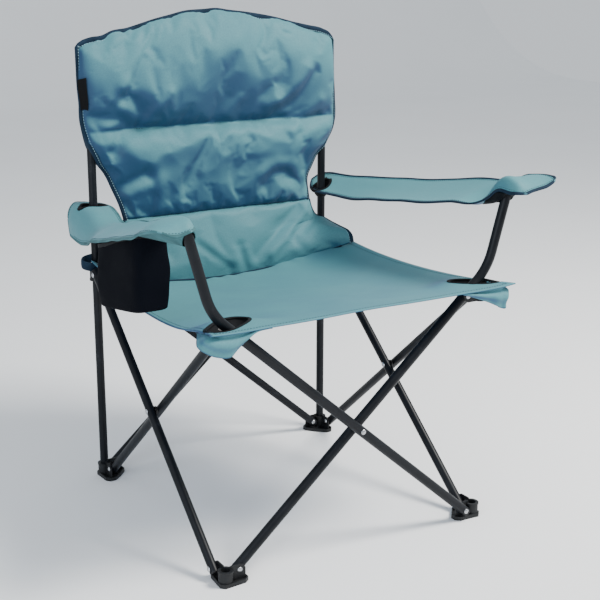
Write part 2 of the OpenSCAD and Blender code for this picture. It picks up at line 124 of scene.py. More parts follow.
def quarter_round(t: Array) -> Array:
    """Height of a quarter circle that rises steeply from 0 at t = 0 to 1 at t = 1."""
    return np.sqrt(1 - (1 - t) ** 2)


def full_turn(n: int) -> Array:
    """Angles of n places evenly round a circle."""
    return np.linspace(0, 2 * math.pi, n, endpoint=False)


def through(knots: Sequence[float], values: Sequence, t: Array) -> Array:
    """Smooth curve through given values.

    Cubic Hermite pieces: between two knots the value is the mix of both values and of
    both slopes, and a slope is that of the parabola through a knot and its neighbours.

    Args:
        knots: growing parameters of the given values.
        values: one value or one row of values for each knot.
        t: parameters to read the curve at.

    Returns:
        The values at t, with the shape of t followed by that of one row.
    """
    k = np.asarray(knots, float)
    p = np.asarray(values, float)
    slope = np.gradient(p, k, axis=0)
    t = np.clip(np.asarray(t, float), k[0], k[-1])
    i = np.clip(np.searchsorted(k, t, side="right") - 1, 0, len(k) - 2)
    h = k[i + 1] - k[i]
    s = (t - k[i]) / h
    s, h = (a.reshape(a.shape + (1,) * (p.ndim - 1)) for a in (s, h))
    return (
        p[i] * (2 * s**3 - 3 * s**2 + 1)
        + p[i + 1] * (3 * s**2 - 2 * s**3)
        + slope[i] * h * (s**3 - 2 * s**2 + s)
        + slope[i + 1] * h * (s**3 - s**2)
    )


def ripple(a: Array, b: Array, seed: int, size: float, terms: int = 9) -> Array:
    """Smooth random height between about -1 and 1.

    A sum of plane waves: each is the sine of a random direction's coordinate over a random
    wavelength near size, plus a random phase.

    Args:
        a: first coordinate of each point.
        b: second coordinate of each point.
        seed: picks the waves.
        size: middle wavelength, in the unit of a and b.
        terms: number of waves.

    Returns:
        One height for each point.
    """
    rng = np.random.default_rng(seed)
    turn = rng.uniform(0, 2 * math.pi, terms)
    reach = size * rng.uniform(0.65, 1.6, terms)
    phase = rng.uniform(0, 2 * math.pi, terms)
    along = a[..., None] * np.cos(turn) + b[..., None] * np.sin(turn)
    return np.sin(2 * math.pi * along / reach + phase).sum(-1) / math.sqrt(terms)


def unit(v: Array) -> Array:
    """Vectors of length 1 along v."""
    return v / np.maximum(np.linalg.norm(v, axis=-1, keepdims=True), 1e-12)


def square_to(v: Array, normal: Array) -> Array:
    """Unit vectors along the part of v that stands at a right angle to the normal."""
    return unit(v - (v * normal).sum(1, keepdims=True) * normal)


def forwards(n: Array) -> Array:
    """The same directions, each turned over where it would point to the rear."""
    return np.where(n[..., 1:2] < 0, n, -n)


def sheet_normals(points: Array) -> Array:
    """Unit normals of a grid: the cross product of its steps along columns and rows."""
    return unit(np.cross(np.gradient(points, axis=1), np.gradient(points, axis=0)))


def tangents(path: Array, closed: bool = False) -> Array:
    """Unit direction of a path at each of its points."""
    if closed:
        return unit(np.roll(path, -1, 0) - np.roll(path, 1, 0))
    return unit(np.gradient(path, axis=0))


def total(steps: Array) -> Array:
    """Running total of steps, from 0."""
    return np.concatenate([[0], np.cumsum(steps)])


def run_along(path: Array) -> Array:
    """Distance run along a path up to each of its points."""
    return total(np.linalg.norm(np.diff(path, axis=0), axis=1))


def even(path: Array, step: float, closed: bool = False) -> Array:
    """The same path with its points a given step apart."""
    p = np.concatenate([path, path[:1]]) if closed else path
    run = run_along(p)
    n = max(3, int(round(run[-1] / step)))
    t = np.linspace(0, run[-1], n + 1)[: n if closed else n + 1]
    return np.stack([np.interp(t, run, p[:, k]) for k in range(3)], -1)


def nearest(places: Array, points: Array) -> Array:
    """Number of the point that lies nearest to each place."""
    return np.linalg.norm(places[:, None] - points[None], axis=-1).argmin(1)


def oval(width: float, height: float, n: int = 10) -> Array:
    """Outline of an ellipse of that width and height, n points."""
    a = full_turn(n)
    return np.stack([np.cos(a) * width / 2, np.sin(a) * height / 2], -1)


@dataclass
class Patch:
    """A surface as a grid of points in millimetres.

    Rows run along v and columns along u, both from 0 to 1, and the normal side is the
    cross product of the u step and the v step.
    """

    points: Array

    def read(self, u: Array, v: Array) -> tuple[Array, Array]:
        """Points and normals at parameters u and v, mixed from the four grid points around.

        Args:
            u: column parameter of each place, 0 to 1.
            v: row parameter of each place, 0 to 1.

        Returns:
            The points and the unit normals there.
        """
        rows, cols = self.points.shape[:2]
        x = np.clip(np.asarray(u, float), 0, 1) * (cols - 1)
        y = np.clip(np.asarray(v, float), 0, 1) * (rows - 1)
        i = np.minimum(x.astype(int), cols - 2)
        j = np.minimum(y.astype(int), rows - 2)
        fx, fy = (x - i)[:, None], (y - j)[:, None]
        out = []
        for grid in (self.points, sheet_normals(self.points)):
            low = grid[j, i] * (1 - fx) + grid[j, i + 1] * fx
            high = grid[j + 1, i] * (1 - fx) + grid[j + 1, i + 1] * fx
            out.append(low * (1 - fy) + high * fy)
        return out[0], unit(out[1])

    def cloth_map(self) -> Array:
        """Map of both faces of the cloth in metres: mean distances run along rows and columns."""
        across, along = (np.linalg.norm(np.diff(self.points, axis=k), axis=-1).mean(1 - k)
                         for k in (1, 0))
        grid = np.stack(np.broadcast_arrays(total(across)[None, :], total(along)[:, None]), -1)
        return np.tile(grid.reshape(-1, 2) * MM, (2, 1))


# ---------------------------------------------------------------- meshes
def read_out(items: bpy.types.bpy_prop_collection, key: str, width: int = 3,
             kind: type = np.float32) -> Array:
    """One property of all vertices or edges of a mesh, a row of values for each."""
    out = np.empty(len(items) * width, kind)
    items.foreach_get(key, out)
    return out.reshape(-1, width)


def grid_quads(rows: int, cols: int, ring: bool = False, loop: bool = False) -> Array:
    """Corner numbers of every cell of a grid.

    Args:
        rows: number of rows.
        cols: number of columns.
        ring: True if the last column joins the first one.
        loop: True if the last row joins the first one.

    Returns:
        The cells' corners, one row of cells after the other.
    """
    n = np.arange(rows * cols).reshape(rows, cols)
    n = np.concatenate([n, n[:, :1]], 1) if ring else n
    n = np.concatenate([n, n[:1]]) if loop else n
    return np.stack([n[:-1, :-1], n[:-1, 1:], n[1:, 1:], n[1:, :-1]], -1)


def rim_edges(quads: Array) -> Array:
    """Edges of quads that only one quad has, each in that quad's direction."""
    edges = np.stack([quads, np.roll(quads, -1, axis=1)], -1).reshape(-1, 2)
    size = int(quads.max()) + 1
    forward = edges[:, 0].astype(np.int64) * size + edges[:, 1]
    back = edges[:, 1].astype(np.int64) * size + edges[:, 0]
    return edges[~np.isin(forward, back)]


def rim_wall(rim: Array, count: int) -> Array:
    """Quads from rim edges to the same edges of the other face, numbered count higher."""
    return np.stack([rim[:, 1], rim[:, 0], rim[:, 0] + count, rim[:, 1] + count], -1)


def volume(points: Array, faces: Array) -> float:
    """Signed volume inside quads: a sixth of the sum of the triple products of the corners of
    both triangles of each, measured from the middle of all points."""
    a, b, c, d = (points[faces[:, k]] - points.mean(0) for k in range(4))
    return float(((np.cross(a, b) * c).sum() + (np.cross(a, c) * d).sum()) / 6)


def make_mesh(name: str, points: Array, faces: Array, uv: Array | None = None) -> Piece:
    """Puts points and quads into a new smooth object at the origin, with the faces outwards.

    Args:
        name: object name.
        points: vertices in millimetres.
        faces: corner numbers of the quads.
        uv: one cloth coordinate in metres for each vertex.

    Returns:
        The new object, in the scene.
    """
    used, packed = np.unique(faces, return_inverse=True)
    faces = packed.reshape(faces.shape)
    if volume(points[used], faces) < 0:
        faces = faces[:, ::-1]
    mesh = bpy.data.meshes.new(name)
    mesh.from_pydata((points[used] * MM).tolist(), [], faces.tolist())
    if uv is not None:
        layer = mesh.uv_layers.new(name="cloth")
        layer.data.foreach_set("uv", uv[used][faces.ravel()].astype(np.float32).ravel())
    mesh.polygons.foreach_set("use_smooth", np.full(len(faces), True))
    mesh.update()
    obj = bpy.data.objects.new(name, mesh)
    bpy.context.scene.collection.objects.link(obj)
    return obj


def two_sided(front: Array, rear: Array, keep: Array | None = None,
              ring: bool = False) -> tuple[Array, Array]:
    """Closed skin of two grids of the same size.

    The front cells face along the grid normal, the rear cells face the other way, and every
    rim edge, outside or round a hole, gets a quad from front to rear.

    Args:
        front: grid of points on the normal side.
        rear: grid of points on the other side.
        keep: one flag for each cell; cells without it are left out of both sides.
        ring: True if the last column joins the first one.

    Returns:
        All points, and the quads as corner numbers.
    """
    rows, cols = front.shape[:2]
    quads = grid_quads(rows, cols, ring)
    quads = quads.reshape(-1, 4) if keep is None else quads[keep]
    count = rows * cols
    wall = rim_wall(rim_edges(quads), count)
    faces = np.concatenate([quads, quads[:, ::-1] + count, wall])
    return np.concatenate([front.reshape(-1, 3), rear.reshape(-1, 3)]), faces


def cloth_shell(name: str, patch: Patch, thickness: float, keep: Array | None = None) -> Piece:
    """Sheet of even thickness round a patch: each point goes half the thickness both ways
    along its normal."""
    n = sheet_normals(patch.points) * thickness / 2
    points, faces = two_sided(patch.points + n, patch.points - n, keep)
    return make_mesh(name, points, faces, patch.cloth_map())


def tube_wall(name: str, rings: Array, thickness: float) -> Piece:
    """Open tube of cloth through rings of points, with both faces and both rims.

    Each point goes half the thickness outwards and inwards from its ring's middle.

    Args:
        name: object name.
        rings: points of each ring, shape (rings, points, 3).
        thickness: wall thickness.

    Returns:
        The tube, with its cloth map.
    """
    half = unit((rings - rings.mean(1, keepdims=True)) * [1, 1, 0.2]) * thickness / 2
    points, faces = two_sided(rings + half, rings - half, ring=True)
    return make_mesh(name, points, faces, Patch(rings).cloth_map())


def carried(path: Array, side: Array, up: Array, profile: Array,
            closed: bool = False) -> tuple[Array, Array]:
    """A profile carried along a path.

    Each path point gets the closed profile, laid out along that point's side and up vectors.

    Args:
        path: points in order.
        side: unit vector of the profile's first coordinate at each point.
        up: unit vector of its second coordinate.
        profile: closed outline, or one outline for each path point.
        closed: True if the path is a ring.

    Returns:
        Points and quads; the ends of an open path are closed by strips across the profile,
        which then has an even number of points.
    """
    prof = np.broadcast_to(profile, (len(path),) + np.shape(profile)[-2:])
    pts = path[:, None] + prof[..., :1] * side[:, None] + prof[..., 1:] * up[:, None]
    rows, m = pts.shape[:2]
    faces = grid_quads(rows, m, ring=True, loop=closed).reshape(-1, 4)
    if not closed:
        k = np.arange(m // 2 - 1)
        cap = np.stack([k, m - 1 - k, m - 2 - k, k + 1], -1)
        faces = np.concatenate([faces, cap, cap[:, ::-1] + (rows - 1) * m])
    return pts.reshape(-1, 3), faces


def bound_edge(name: str, path: Array, inward: Array, normal: Array, width: Array | float,
               gap: Array | float, closed: bool = False, bend: float | None = None,
               tuck: float = 0.86) -> Piece:
    """Binding tape folded over a fabric edge.

    The profile is a flat loop: it starts width inside the edge on the normal side, runs
    round the edge and back to width inside on the other side, gap wide between both faces.

    Args:
        name: object name.
        path: the fabric edge.
        inward: unit vector from the edge into the fabric at each point.
        normal: unit normal of the fabric at each point.
        width: how far the tape reaches onto the fabric, one value or one for each point.
        gap: outer thickness of the folded tape, one value or one for each point.
        closed: True if the edge is a ring.
        bend: how far the fold stands off the edge; without it half the gap, up to TAPE_BEND.
        tuck: gap at the tape's free edges, as a share of that at the fold.

    Returns:
        The tape.
    """
    a = np.linspace(-math.pi / 2, math.pi / 2, 8)[None]
    half, flat = (np.broadcast_to(np.reshape(v, (-1, 1)), (len(path), 1))
                  for v in (np.asarray(gap, float) / 2, width))
    reach = np.minimum(half, TAPE_BEND) if bend is None else np.full_like(half, bend)
    across = np.concatenate([flat, -np.cos(a) * reach, flat], 1)
    above = np.concatenate([-half * tuck, np.sin(a) * half, half * tuck], 1)
    points, faces = carried(path, inward, normal, np.stack([across, above], -1), closed)
    return make_mesh(name, points, faces)


def sewn(name: str, path: Array, normal: Array, pitch: float = 6.0, lift: float = 0.3,
         closed: bool = False) -> Piece:
    """Row of thread stitches along a path on the fabric.

    Every stitch is the same low grain: a six-sided spindle of four rings, scaled to its
    length along the seam, to its width across it and to a little over half that above.

    Args:
        name: object name.
        path: the seam.
        normal: unit normal of the fabric at each point of the path.
        pitch: distance from one stitch to the next.
        lift: height of the stitches' middles above the path.
        closed: True if the path is a ring.

    Returns:
        All stitches as one object.
    """
    length, width = 4.2, 1.3
    line = even(path, pitch, closed)
    up = normal[nearest(line, path)]
    along = tangents(line, closed)
    centres = line + up * lift
    turn = full_turn(6)
    ring = np.stack([0 * turn, np.cos(turn), np.sin(turn) * 0.6], -1)
    grain = np.concatenate([ring * [1, thin, thin] + [place, 0, 0] for place, thin in
                            ((-0.5, 0.25), (-0.28, 1), (0.28, 1), (0.5, 0.25))])
    ends = np.array([[5, 4, 1, 0], [4, 3, 2, 1], [18, 19, 22, 23], [19, 20, 21, 22]])
    cell = np.concatenate([grid_quads(4, 6, ring=True).reshape(-1, 4), ends])
    size = (grain * [length, width / 2, width / 2])[None]
    across = unit(np.cross(up, along))
    points = (centres[:, None] + size[..., :1] * along[:, None]
              + size[..., 1:2] * across[:, None] + size[..., 2:] * up[:, None])
    faces = (cell[None] + len(grain) * np.arange(len(centres))[:, None, None]).reshape(-1, 4)
    return make_mesh(name, points.reshape(-1, 3), faces)


# ---------------------------------------------------------------- node groups
def rgba(colour: object) -> object:
    """A colour with its alpha, or the socket as it is."""
    return (*colour, 1.0) if isinstance(colour, tuple) and len(colour) == 3 else colour


@dataclass
class Wiring:
    """Short names for adding and joining shader nodes in one tree."""

    tree: NodeTree

    def add(self, kind: str, given: dict | None = None, **values: object) -> Node:
        """Adds a node of that kind and sets its properties and inputs.

        Args:
            kind: node type, without its Shader Node prefix.
            given: link or value of each input, by name or number.
            values: property names and values.

        Returns:
            The node.
        """
        node = self.tree.nodes.new("ShaderNode" + kind)
        for key, value in values.items():
            setattr(node, key, value)
        self.feed(node, given or {})
        return node

    def feed(self, node: Node, given: dict) -> None:
        """Links inputs of a node to other nodes' outputs, or sets their values."""
        for key, source in given.items():
            if isinstance(source, Socket):
                self.tree.links.new(source, node.inputs[key])
            else:
                node.inputs[key].default_value = source

    def sums(self, operation: str, *terms: object, clamp: bool = False) -> Socket:
        """Math node of that operation on the terms, and its output."""
        given = dict(enumerate(terms))
        return self.add("Math", given, operation=operation, use_clamp=clamp).outputs[0]

    def times(self, a: object, b: object) -> Socket:
        """Product of two values."""
        return self.sums("MULTIPLY", a, b)

    def mixed(self, share: object, low: object, high: object) -> Socket:
        """Colour mix of low and high by share, and its output."""
        given = {"Factor": share, MIX_LOW: rgba(low), MIX_HIGH: rgba(high)}
        return self.add("Mix", given, data_type="RGBA").outputs[MIX_RESULT]

    def noise(self, vector: Socket, scale: object, detail: float, rough: float = 0.5) -> Socket:
        """Noise value between 0 and 1 at that scale."""
        given = {"Vector": vector, "Scale": scale, "Detail": detail, "Roughness": rough}
        return self.add("TexNoise", given).outputs["Fac"]

    def spread(self, value: object, low: float, high: float, start: float = 0.0,
               end: float = 1.0) -> Socket:
        """Value between low and high stretched to start and end, held at both."""
        given = {"Value": value, "From Min": low, "From Max": high, "To Min": start,
                 "To Max": end}
        return self.add("MapRange", given, clamp=True).outputs["Result"]

    def bump(self, shader: Node, height: Socket, strength: float, distance: float) -> None:
        """Feeds a height through a Bump node into the shader's normal."""
        given = {"Strength": strength, "Distance": distance, "Height": height}
        self.feed(shader, {"Normal": self.add("Bump", given).outputs[0]})


def new_group(name: str, inputs: dict[str, tuple[str, float]],
              outputs: Sequence[str]) -> tuple[Wiring, Sequence[Socket], Node]:
    """Empty shader node group with named sockets.

    Args:
        name: group name.
        inputs: socket type and default value by socket name.
        outputs: names of the outputs, which are all single values.

    Returns:
        Its wiring, the sockets of its inputs by name, and its output node.
    """
    tree = bpy.data.node_groups.new(name, "ShaderNodeTree")
    for key, (kind, value) in inputs.items():
        socket = tree.interface.new_socket(key, in_out="INPUT", socket_type="NodeSocket" + kind)
        if kind == "Float":
            socket.default_value = value
    for key in outputs:
        tree.interface.new_socket(key, in_out="OUTPUT", socket_type="NodeSocketFloat")
    given = tree.nodes.new("NodeGroupInput").outputs
    return Wiring(tree), given, tree.nodes.new("NodeGroupOutput")


def weave_group() -> NodeTree:
    """Plain weave of two threads.

    A thread's height is the absolute cosine across it, plus or less the product of both
    sines, so that each goes over and under the other in turn. The higher of both is the
    cloth, and which one is on top is the second output.
    """
    w, given, out = new_group(
        "weave", {"Vector": ("Vector", 0), "Threads": ("Float", 900.0)}, ("Height", "Top"))
    parts = w.add("SeparateXYZ", {0: given["Vector"]}).outputs
    a, b = (w.times(w.times(parts[k], given["Threads"]), math.pi) for k in (0, 1))
    over = w.times(w.times(w.sums("SINE", a), w.sums("SINE", b)), 0.6)
    warp = w.sums("ADD", w.sums("ABSOLUTE", w.sums("COSINE", a)), over)
    weft = w.sums("SUBTRACT", w.sums("ABSOLUTE", w.sums("COSINE", b)), over)
    w.feed(out, {"Height": w.times(w.sums("MAXIMUM", warp, weft), 0.6),
                 "Top": w.spread(w.sums("SUBTRACT", warp, weft), -0.4, 0.4)})
    return w.tree


def grain_group() -> NodeTree:
    """Fine grain, broad mottling and worn spots from three noises of one position."""
    w, given, out = new_group(
        "grain", {"Vector": ("Vector", 0), "Fine": ("Float", 900.0), "Broad": ("Float", 14.0)},
        ("Height", "Mottle", "Wear"))
    fine = w.noise(given["Vector"], given["Fine"], 2.0)
    broad = w.noise(given["Vector"], given["Broad"], 5.0)
    scratch = w.noise(given["Vector"], 160.0, 6.0, 0.75)
    w.feed(out, {"Height": fine, "Mottle": w.spread(broad, 0.3, 0.7),
                 "Wear": w.spread(w.times(scratch, broad), 0.34, 0.42)})
    return w.tree


class Effects:
    """The node groups shared by the finishes, each built once."""

    def __init__(self) -> None:
        """Builds the groups."""
        self.weave = weave_group()
        self.grain = grain_group()

    def place(self, w: Wiring, group: NodeTree, vector: Socket,
              **values: float) -> Sequence[Socket]:
        """Puts a group into a material.

        Args:
            w: the material's wiring.
            group: one of the shared groups.
            vector: position that the pattern reads.
            values: the group's own values by socket name.

        Returns:
            The group's outputs.
        """
        return w.add("Group", {"Vector": vector, **values}, node_tree=group).outputs


# ---------------------------------------------------------------- finishes
@dataclass(frozen=True)
class Finish:
    """A finish: its colour and the scales of its grain. Each kind paints its own shader."""

    name: str
    colour: Colour
    fine = 900.0
    broad = 14.0

    def material(self, effects: Effects) -> Material:
        """Builds the material.

        Args:
            effects: the shared node groups.

        Returns:
            Node material with a Principled shader, painted.
        """
        material = bpy.data.materials.new(self.name)
        material.use_nodes = True
        material.node_tree.nodes.clear()
        w = Wiring(material.node_tree)
        shader = w.add("BsdfPrincipled")
        w.add("OutputMaterial", {"Surface": shader.outputs[0]})
        place = w.add("TexCoord").outputs["Object"]
        grain = effects.place(w, effects.grain, place, Fine=self.fine, Broad=self.broad)
        self.paint(w, shader, grain, effects)
        return material

    def shade(self, factor: float, lift: float = 0.0) -> Colour:
        """The colour times a factor, lifted a little."""
        return tuple(c * factor + lift for c in self.colour)

    def paint(self, w: Wiring, shader: Node, grain: Sequence[Socket], effects: Effects) -> None:
        """Wires the shader.

        Args:
            w: the material's wiring.
            shader: its Principled node.
            grain: outputs of its grain group.
            effects: the shared node groups.
        """
        raise NotImplementedError


@dataclass(frozen=True)
class WovenCloth(Finish):
    """Coated polyester with painted shade: its colour goes from its lit colour to its shade colour
    with the mesh's fold attribute.
    """

    # colour of the painted shade, where the cloth turns away from the light
    shade_colour: Colour
    threads: float = 900.0
    roughness: float = 0.55
    sheen: float = 0.10
    specular: float = 0.35
    fine, broad = 700.0, 9.0

    def paint(self, w: Wiring, shader: Node, grain: Sequence[Socket], effects: Effects) -> None:
        """Painted lit and shaded colours by the fold attribute, darker threads, slubs, weave and
        sheen.
        """
        uv = w.add("UVMap", uv_map="cloth").outputs[0]
        weave = effects.place(w, effects.weave, uv, Threads=self.threads)
        # fold is painted shade, baked from the normals and a fixed light direction; soft adds
        # random mottling to it
        fold = w.add("Attribute", attribute_name="fold").outputs["Fac"]
        soft = w.sums("ADD", fold, w.spread(grain["Mottle"], 0, 1, -0.07, 0.07), clamp=True)
        body = w.mixed(soft, self.colour, self.shade_colour)
        dark = tuple(c * 0.80 for c in self.shade_colour)
        thread = w.mixed(w.times(weave["Top"], 0.22), body, dark)
        slub = w.spread(w.noise(uv, 260.0, 4.0, 0.55), 0.35, 0.65, 0.0, 0.16)
        w.feed(shader, {
            "Base Color": w.mixed(slub, thread, dark),
            "Roughness": w.spread(grain["Mottle"], 0, 1, self.roughness - 0.05,
                                  self.roughness + 0.07),
            "Specular IOR Level": self.specular, "Sheen Weight": self.sheen,
            "Sheen Roughness": 0.35, "Sheen Tint": (0.62, 0.78, 1.0, 1.0)})
        w.bump(shader, weave["Height"], 0.25, 0.0004)


@dataclass(frozen=True)
class Tape(Finish):
    """Ribbed binding tape, webbing or thread. Its dark kinds also paint shade: the black sheets
    in the slots, the rear corner loops and the left post pocket.
    """

    roughness: float = 0.7
    fine, broad = 1400.0, 30.0

    def paint(self, w: Wiring, shader: Node, grain: Sequence[Socket], effects: Effects) -> None:
        """Mottled tape with a fine rib and a light sheen."""
        w.feed(shader, {
            "Base Color": w.mixed(grain["Mottle"], self.colour, self.shade(1.7, 0.003)),
            "Roughness": w.spread(grain["Height"], 0.3, 0.7, self.roughness - 0.1,
                                  self.roughness + 0.1),
            "Sheen Weight": 0.02, "Specular IOR Level": 0.08})
        w.bump(shader, grain["Height"], 0.5, 0.0005)


@dataclass(frozen=True)
class CoatedTube(Finish):
    """Black powder-coated steel."""

    colour: Colour = (0.0042, 0.005, 0.0068)
    roughness: float = 0.38
    fine, broad = 620.0, 22.0

    def paint(self, w: Wiring, shader: Node, grain: Sequence[Socket], effects: Effects) -> None:
        """Satin black with orange peel, dust and small scuffs."""
        coat = w.mixed(w.times(grain["Mottle"], 0.7), self.colour, self.shade(1.9, 0.002))
        scuff = w.times(grain["Wear"], 0.35)
        rough = w.spread(grain["Mottle"], 0, 1, self.roughness - 0.05, self.roughness + 0.09)
        w.feed(shader, {
            "Base Color": w.mixed(scuff, coat, (0.045, 0.048, 0.055)),
            "Roughness": w.sums("ADD", rough, w.times(scuff, 0.3)),
            "Specular IOR Level": 0.17})
        w.bump(shader, grain["Height"], 0.16, 0.0004)


@dataclass(frozen=True)
class MouldedPlastic(Finish):
    """Black moulded nylon."""

    colour: Colour = (0.0065, 0.007, 0.008)
    roughness: float = 0.52
    fine, broad = 1500.0, 35.0

    def paint(self, w: Wiring, shader: Node, grain: Sequence[Socket], effects: Effects) -> None:
        """Fine spark-eroded texture with paler rubbed spots."""
        base = w.mixed(w.times(grain["Mottle"], 0.5), self.colour, self.shade(2.2, 0.003))
        w.feed(shader, {
            "Base Color": w.mixed(w.times(grain["Wear"], 0.4), base, (0.04, 0.04, 0.04)),
            "Roughness": w.spread(grain["Height"], 0.3, 0.7, self.roughness - 0.08,
                                  self.roughness + 0.1),
            "Specular IOR Level": 0.28})
        w.bump(shader, grain["Height"], 0.4, 0.0004)


@dataclass(frozen=True)
class RivetSteel(Finish):
    """Plated steel of the rivets."""

    colour: Colour = (0.62, 0.63, 0.65)
    fine, broad = 1100.0, 120.0

    def paint(self, w: Wiring, shader: Node, grain: Sequence[Socket], effects: Effects) -> None:
        """Bright metal, a little duller in spots."""
        w.feed(shader, {
            "Base Color": w.mixed(grain["Mottle"], self.colour, self.shade(0.6)),
            "Metallic": 1.0, "Roughness": w.spread(grain["Mottle"], 0, 1, 0.22, 0.42)})
        w.bump(shader, grain["Height"], 0.12, 0.0003)


@dataclass(frozen=True)
class FloorPaint(Finish):
    """Pale studio floor."""

    colour: Colour = (0.92, 0.925, 0.93)
    fine, broad = 90.0, 1.2

    def paint(self, w: Wiring, shader: Node, grain: Sequence[Socket], effects: Effects) -> None:
        """Matt paint, faintly mottled."""
        w.feed(shader, {
            "Base Color": w.mixed(grain["Mottle"], self.colour, (0.94, 0.945, 0.95)),
            "Roughness": 0.9, "Specular IOR Level": 0.1})


@dataclass
class Wardrobe:
    """Every finish of the chair, built once."""

    effects: Effects
    made: dict[str, Material] = field(default_factory=dict)

    def build(self) -> "Wardrobe":
        """Builds all materials.

        Returns:
            The wardrobe itself.
        """
        for finish in (
            # each cloth gives its lit colour and then its painted shade colour
            WovenCloth("seat_cloth", (0.088, 0.262, 0.278), (0.032, 0.095, 0.185),
                       roughness=0.60, specular=0.22),
            WovenCloth("pad_cloth", (0.080, 0.232, 0.255), (0.020, 0.062, 0.125),
                       roughness=0.60, sheen=0.12, specular=0.22),
            WovenCloth("pouch_cloth", (0.0028, 0.0036, 0.0065), (0.0025, 0.003, 0.005),
                       threads=1100.0, roughness=0.8, sheen=0.0, specular=0.04),
            WovenCloth("tag_cloth", (0.006, 0.006, 0.007), (0.004, 0.004, 0.004), threads=1600.0,
                       roughness=0.7, sheen=0.0, specular=0.10),
            # navy tape, also the rear corner loops of seat cloth, whose dark navy is painted shade
            Tape("navy_tape_and_loop_shade", (0.006, 0.016, 0.030)),
            # black tape, also the black sheets in the slots, which are painted shade
            Tape("black_tape_and_slot_shade", (0.0035, 0.004, 0.005)),
            # teal tape, also the left post pocket, whose darker teal is painted shade
            Tape("teal_tape_and_pocket_shade", (0.036, 0.098, 0.108)),
            Tape("thread_pale", (0.16, 0.26, 0.30)),
            Tape("thread_dark", (0.015, 0.03, 0.045)),
            CoatedTube("black_coat"),
            MouldedPlastic("black_nylon"),
            MouldedPlastic("plug_nylon", (0.009, 0.009, 0.010), 0.42),
            RivetSteel("rivet_steel"),
        ):
            self.made[finish.name] = finish.material(self.effects)
        return self

    def dress(self, obj: Piece, name: str) -> Piece:
        """Gives an object one finish, in place of what it had."""
        obj.data.materials.clear()
        obj.data.materials.append(self.made[name])
        return obj


# ---------------------------------------------------------------- fabric that follows the frame
def hang(obj: Piece, rides: Carrier,
         pulls: Sequence[tuple[Carrier, Callable[[Array], Array]]], rounding: int = 0) -> Piece:
    """Lets several bodies of the frame carry a piece of fabric.

    The piece rides on one body. Each pull adds a share of the way from it to another body,
    as a weight between 0 and 1 at each point, kept in even steps.

    Args:
        obj: the piece.
        rides: the body that it rides on.
        pulls: each body that draws the fabric along, and a function that gives the share at
            each point of an (n, 3) array in millimetres at rest.
        rounding: subdivision levels.

    Returns:
        The same piece.
    """
    at_rest = read_out(obj.data.vertices, "co") / MM
    for body, weight in pulls:
        level = np.rint(np.clip(weight(at_rest), 0, 1) * WEIGHT_STEPS).astype(int)
        group = obj.vertex_groups.new(name="to_" + body.value)
        for step in np.unique(level[level > 0]):
            ids = np.flatnonzero(level == step).tolist()
            group.add(ids, float(step) / WEIGHT_STEPS, "REPLACE")
        hook = obj.modifiers.new("to_" + body.value, "HOOK")
        hook.object = frame["bodies"][body.value]
        hook.vertex_group = group.name
        hook.matrix_inverse = Matrix.Identity(4)
        hook.falloff_type = "NONE"
    if rounding:
        sub = obj.modifiers.new("rounding", "SUBSURF")
        sub.levels = sub.render_levels = rounding
    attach(obj, rides.value)
    return obj


def share_x(p: Array) -> Array:
    """Share of the way to the right column: 0 at the left one, 1 at the right one."""
    return np.clip((p[:, 0] + HUB) / (2 * HUB), 0, 1)


def share_y(p: Array) -> Array:
    """Share of the way to the front columns: 0 at the rear ones, 1 at the front ones."""
    return np.clip((HUB - p[:, 1]) / (2 * HUB), 0, 1)


def back_pleat(p: Array) -> Array:
    """Rearward pleats of the closed back: none at the posts, three waves between them."""
    s = share_x(p)
    wave = 0.14 + 0.05 * (1 - np.cos(6 * math.pi * s))
    return np.maximum(np.sin(math.pi * s), 0.0) ** 0.4 * wave


def seat_lift(p: Array) -> Array:
    """Rise of the closed seat: the full way round the rim, little and in pleats inside.

    The share is 1 less a smooth well over the middle. Waves along the turn about the middle
    fade out towards the rim, and the rear edge between the posts doesn't rise.
    """
    reach, middle_y = 262.0, -20.0
    x, y = p[:, 0] / reach, (p[:, 1] - middle_y) / reach
    r = np.sqrt(np.maximum(np.abs(x), np.abs(y)) ** 2 * 0.75 + 0.25 * (x * x + y * y) / 2)
    well = 1 - ease((r - 0.15) / 0.85)
    rear = ease((p[:, 1] - 150.0) / 60.0) * (1 - ease((np.abs(p[:, 0]) - 200.0) / 70.0))
    wave = 0.10 * np.cos(6 * np.arctan2(p[:, 1] - middle_y, p[:, 0])) * well * ease(r / 0.3)
    return (1 - well + wave) * (1 - rear)


def fold_shade(obj: Piece, light: Sequence[float], low: float, high: float) -> Piece:
    """Writes the fold attribute, which paints shade into the cloth colour: how far each point's
    cloth turns away from a fixed light direction.

    The value rises from 0 where the normal's share along the direction is high, to 1 where
    it is low; the cloth is painted in its lit colour at 0 and in its shade colour at 1.

    Args:
        obj: the fabric piece.
        light: direction of the painted light, which the lit side of a fold faces.
        low: normal share that counts as fully shaded.
        high: normal share that counts as fully lit.

    Returns:
        The same object.
    """
    facing = read_out(obj.data.vertices, "normal") @ unit(np.asarray(light, float))
    value = 1 - ease((facing - low) / (high - low))
    layer = obj.data.attributes.new("fold", "FLOAT", "POINT")
    layer.data.foreach_set("value", value.astype(np.float32))
    return obj


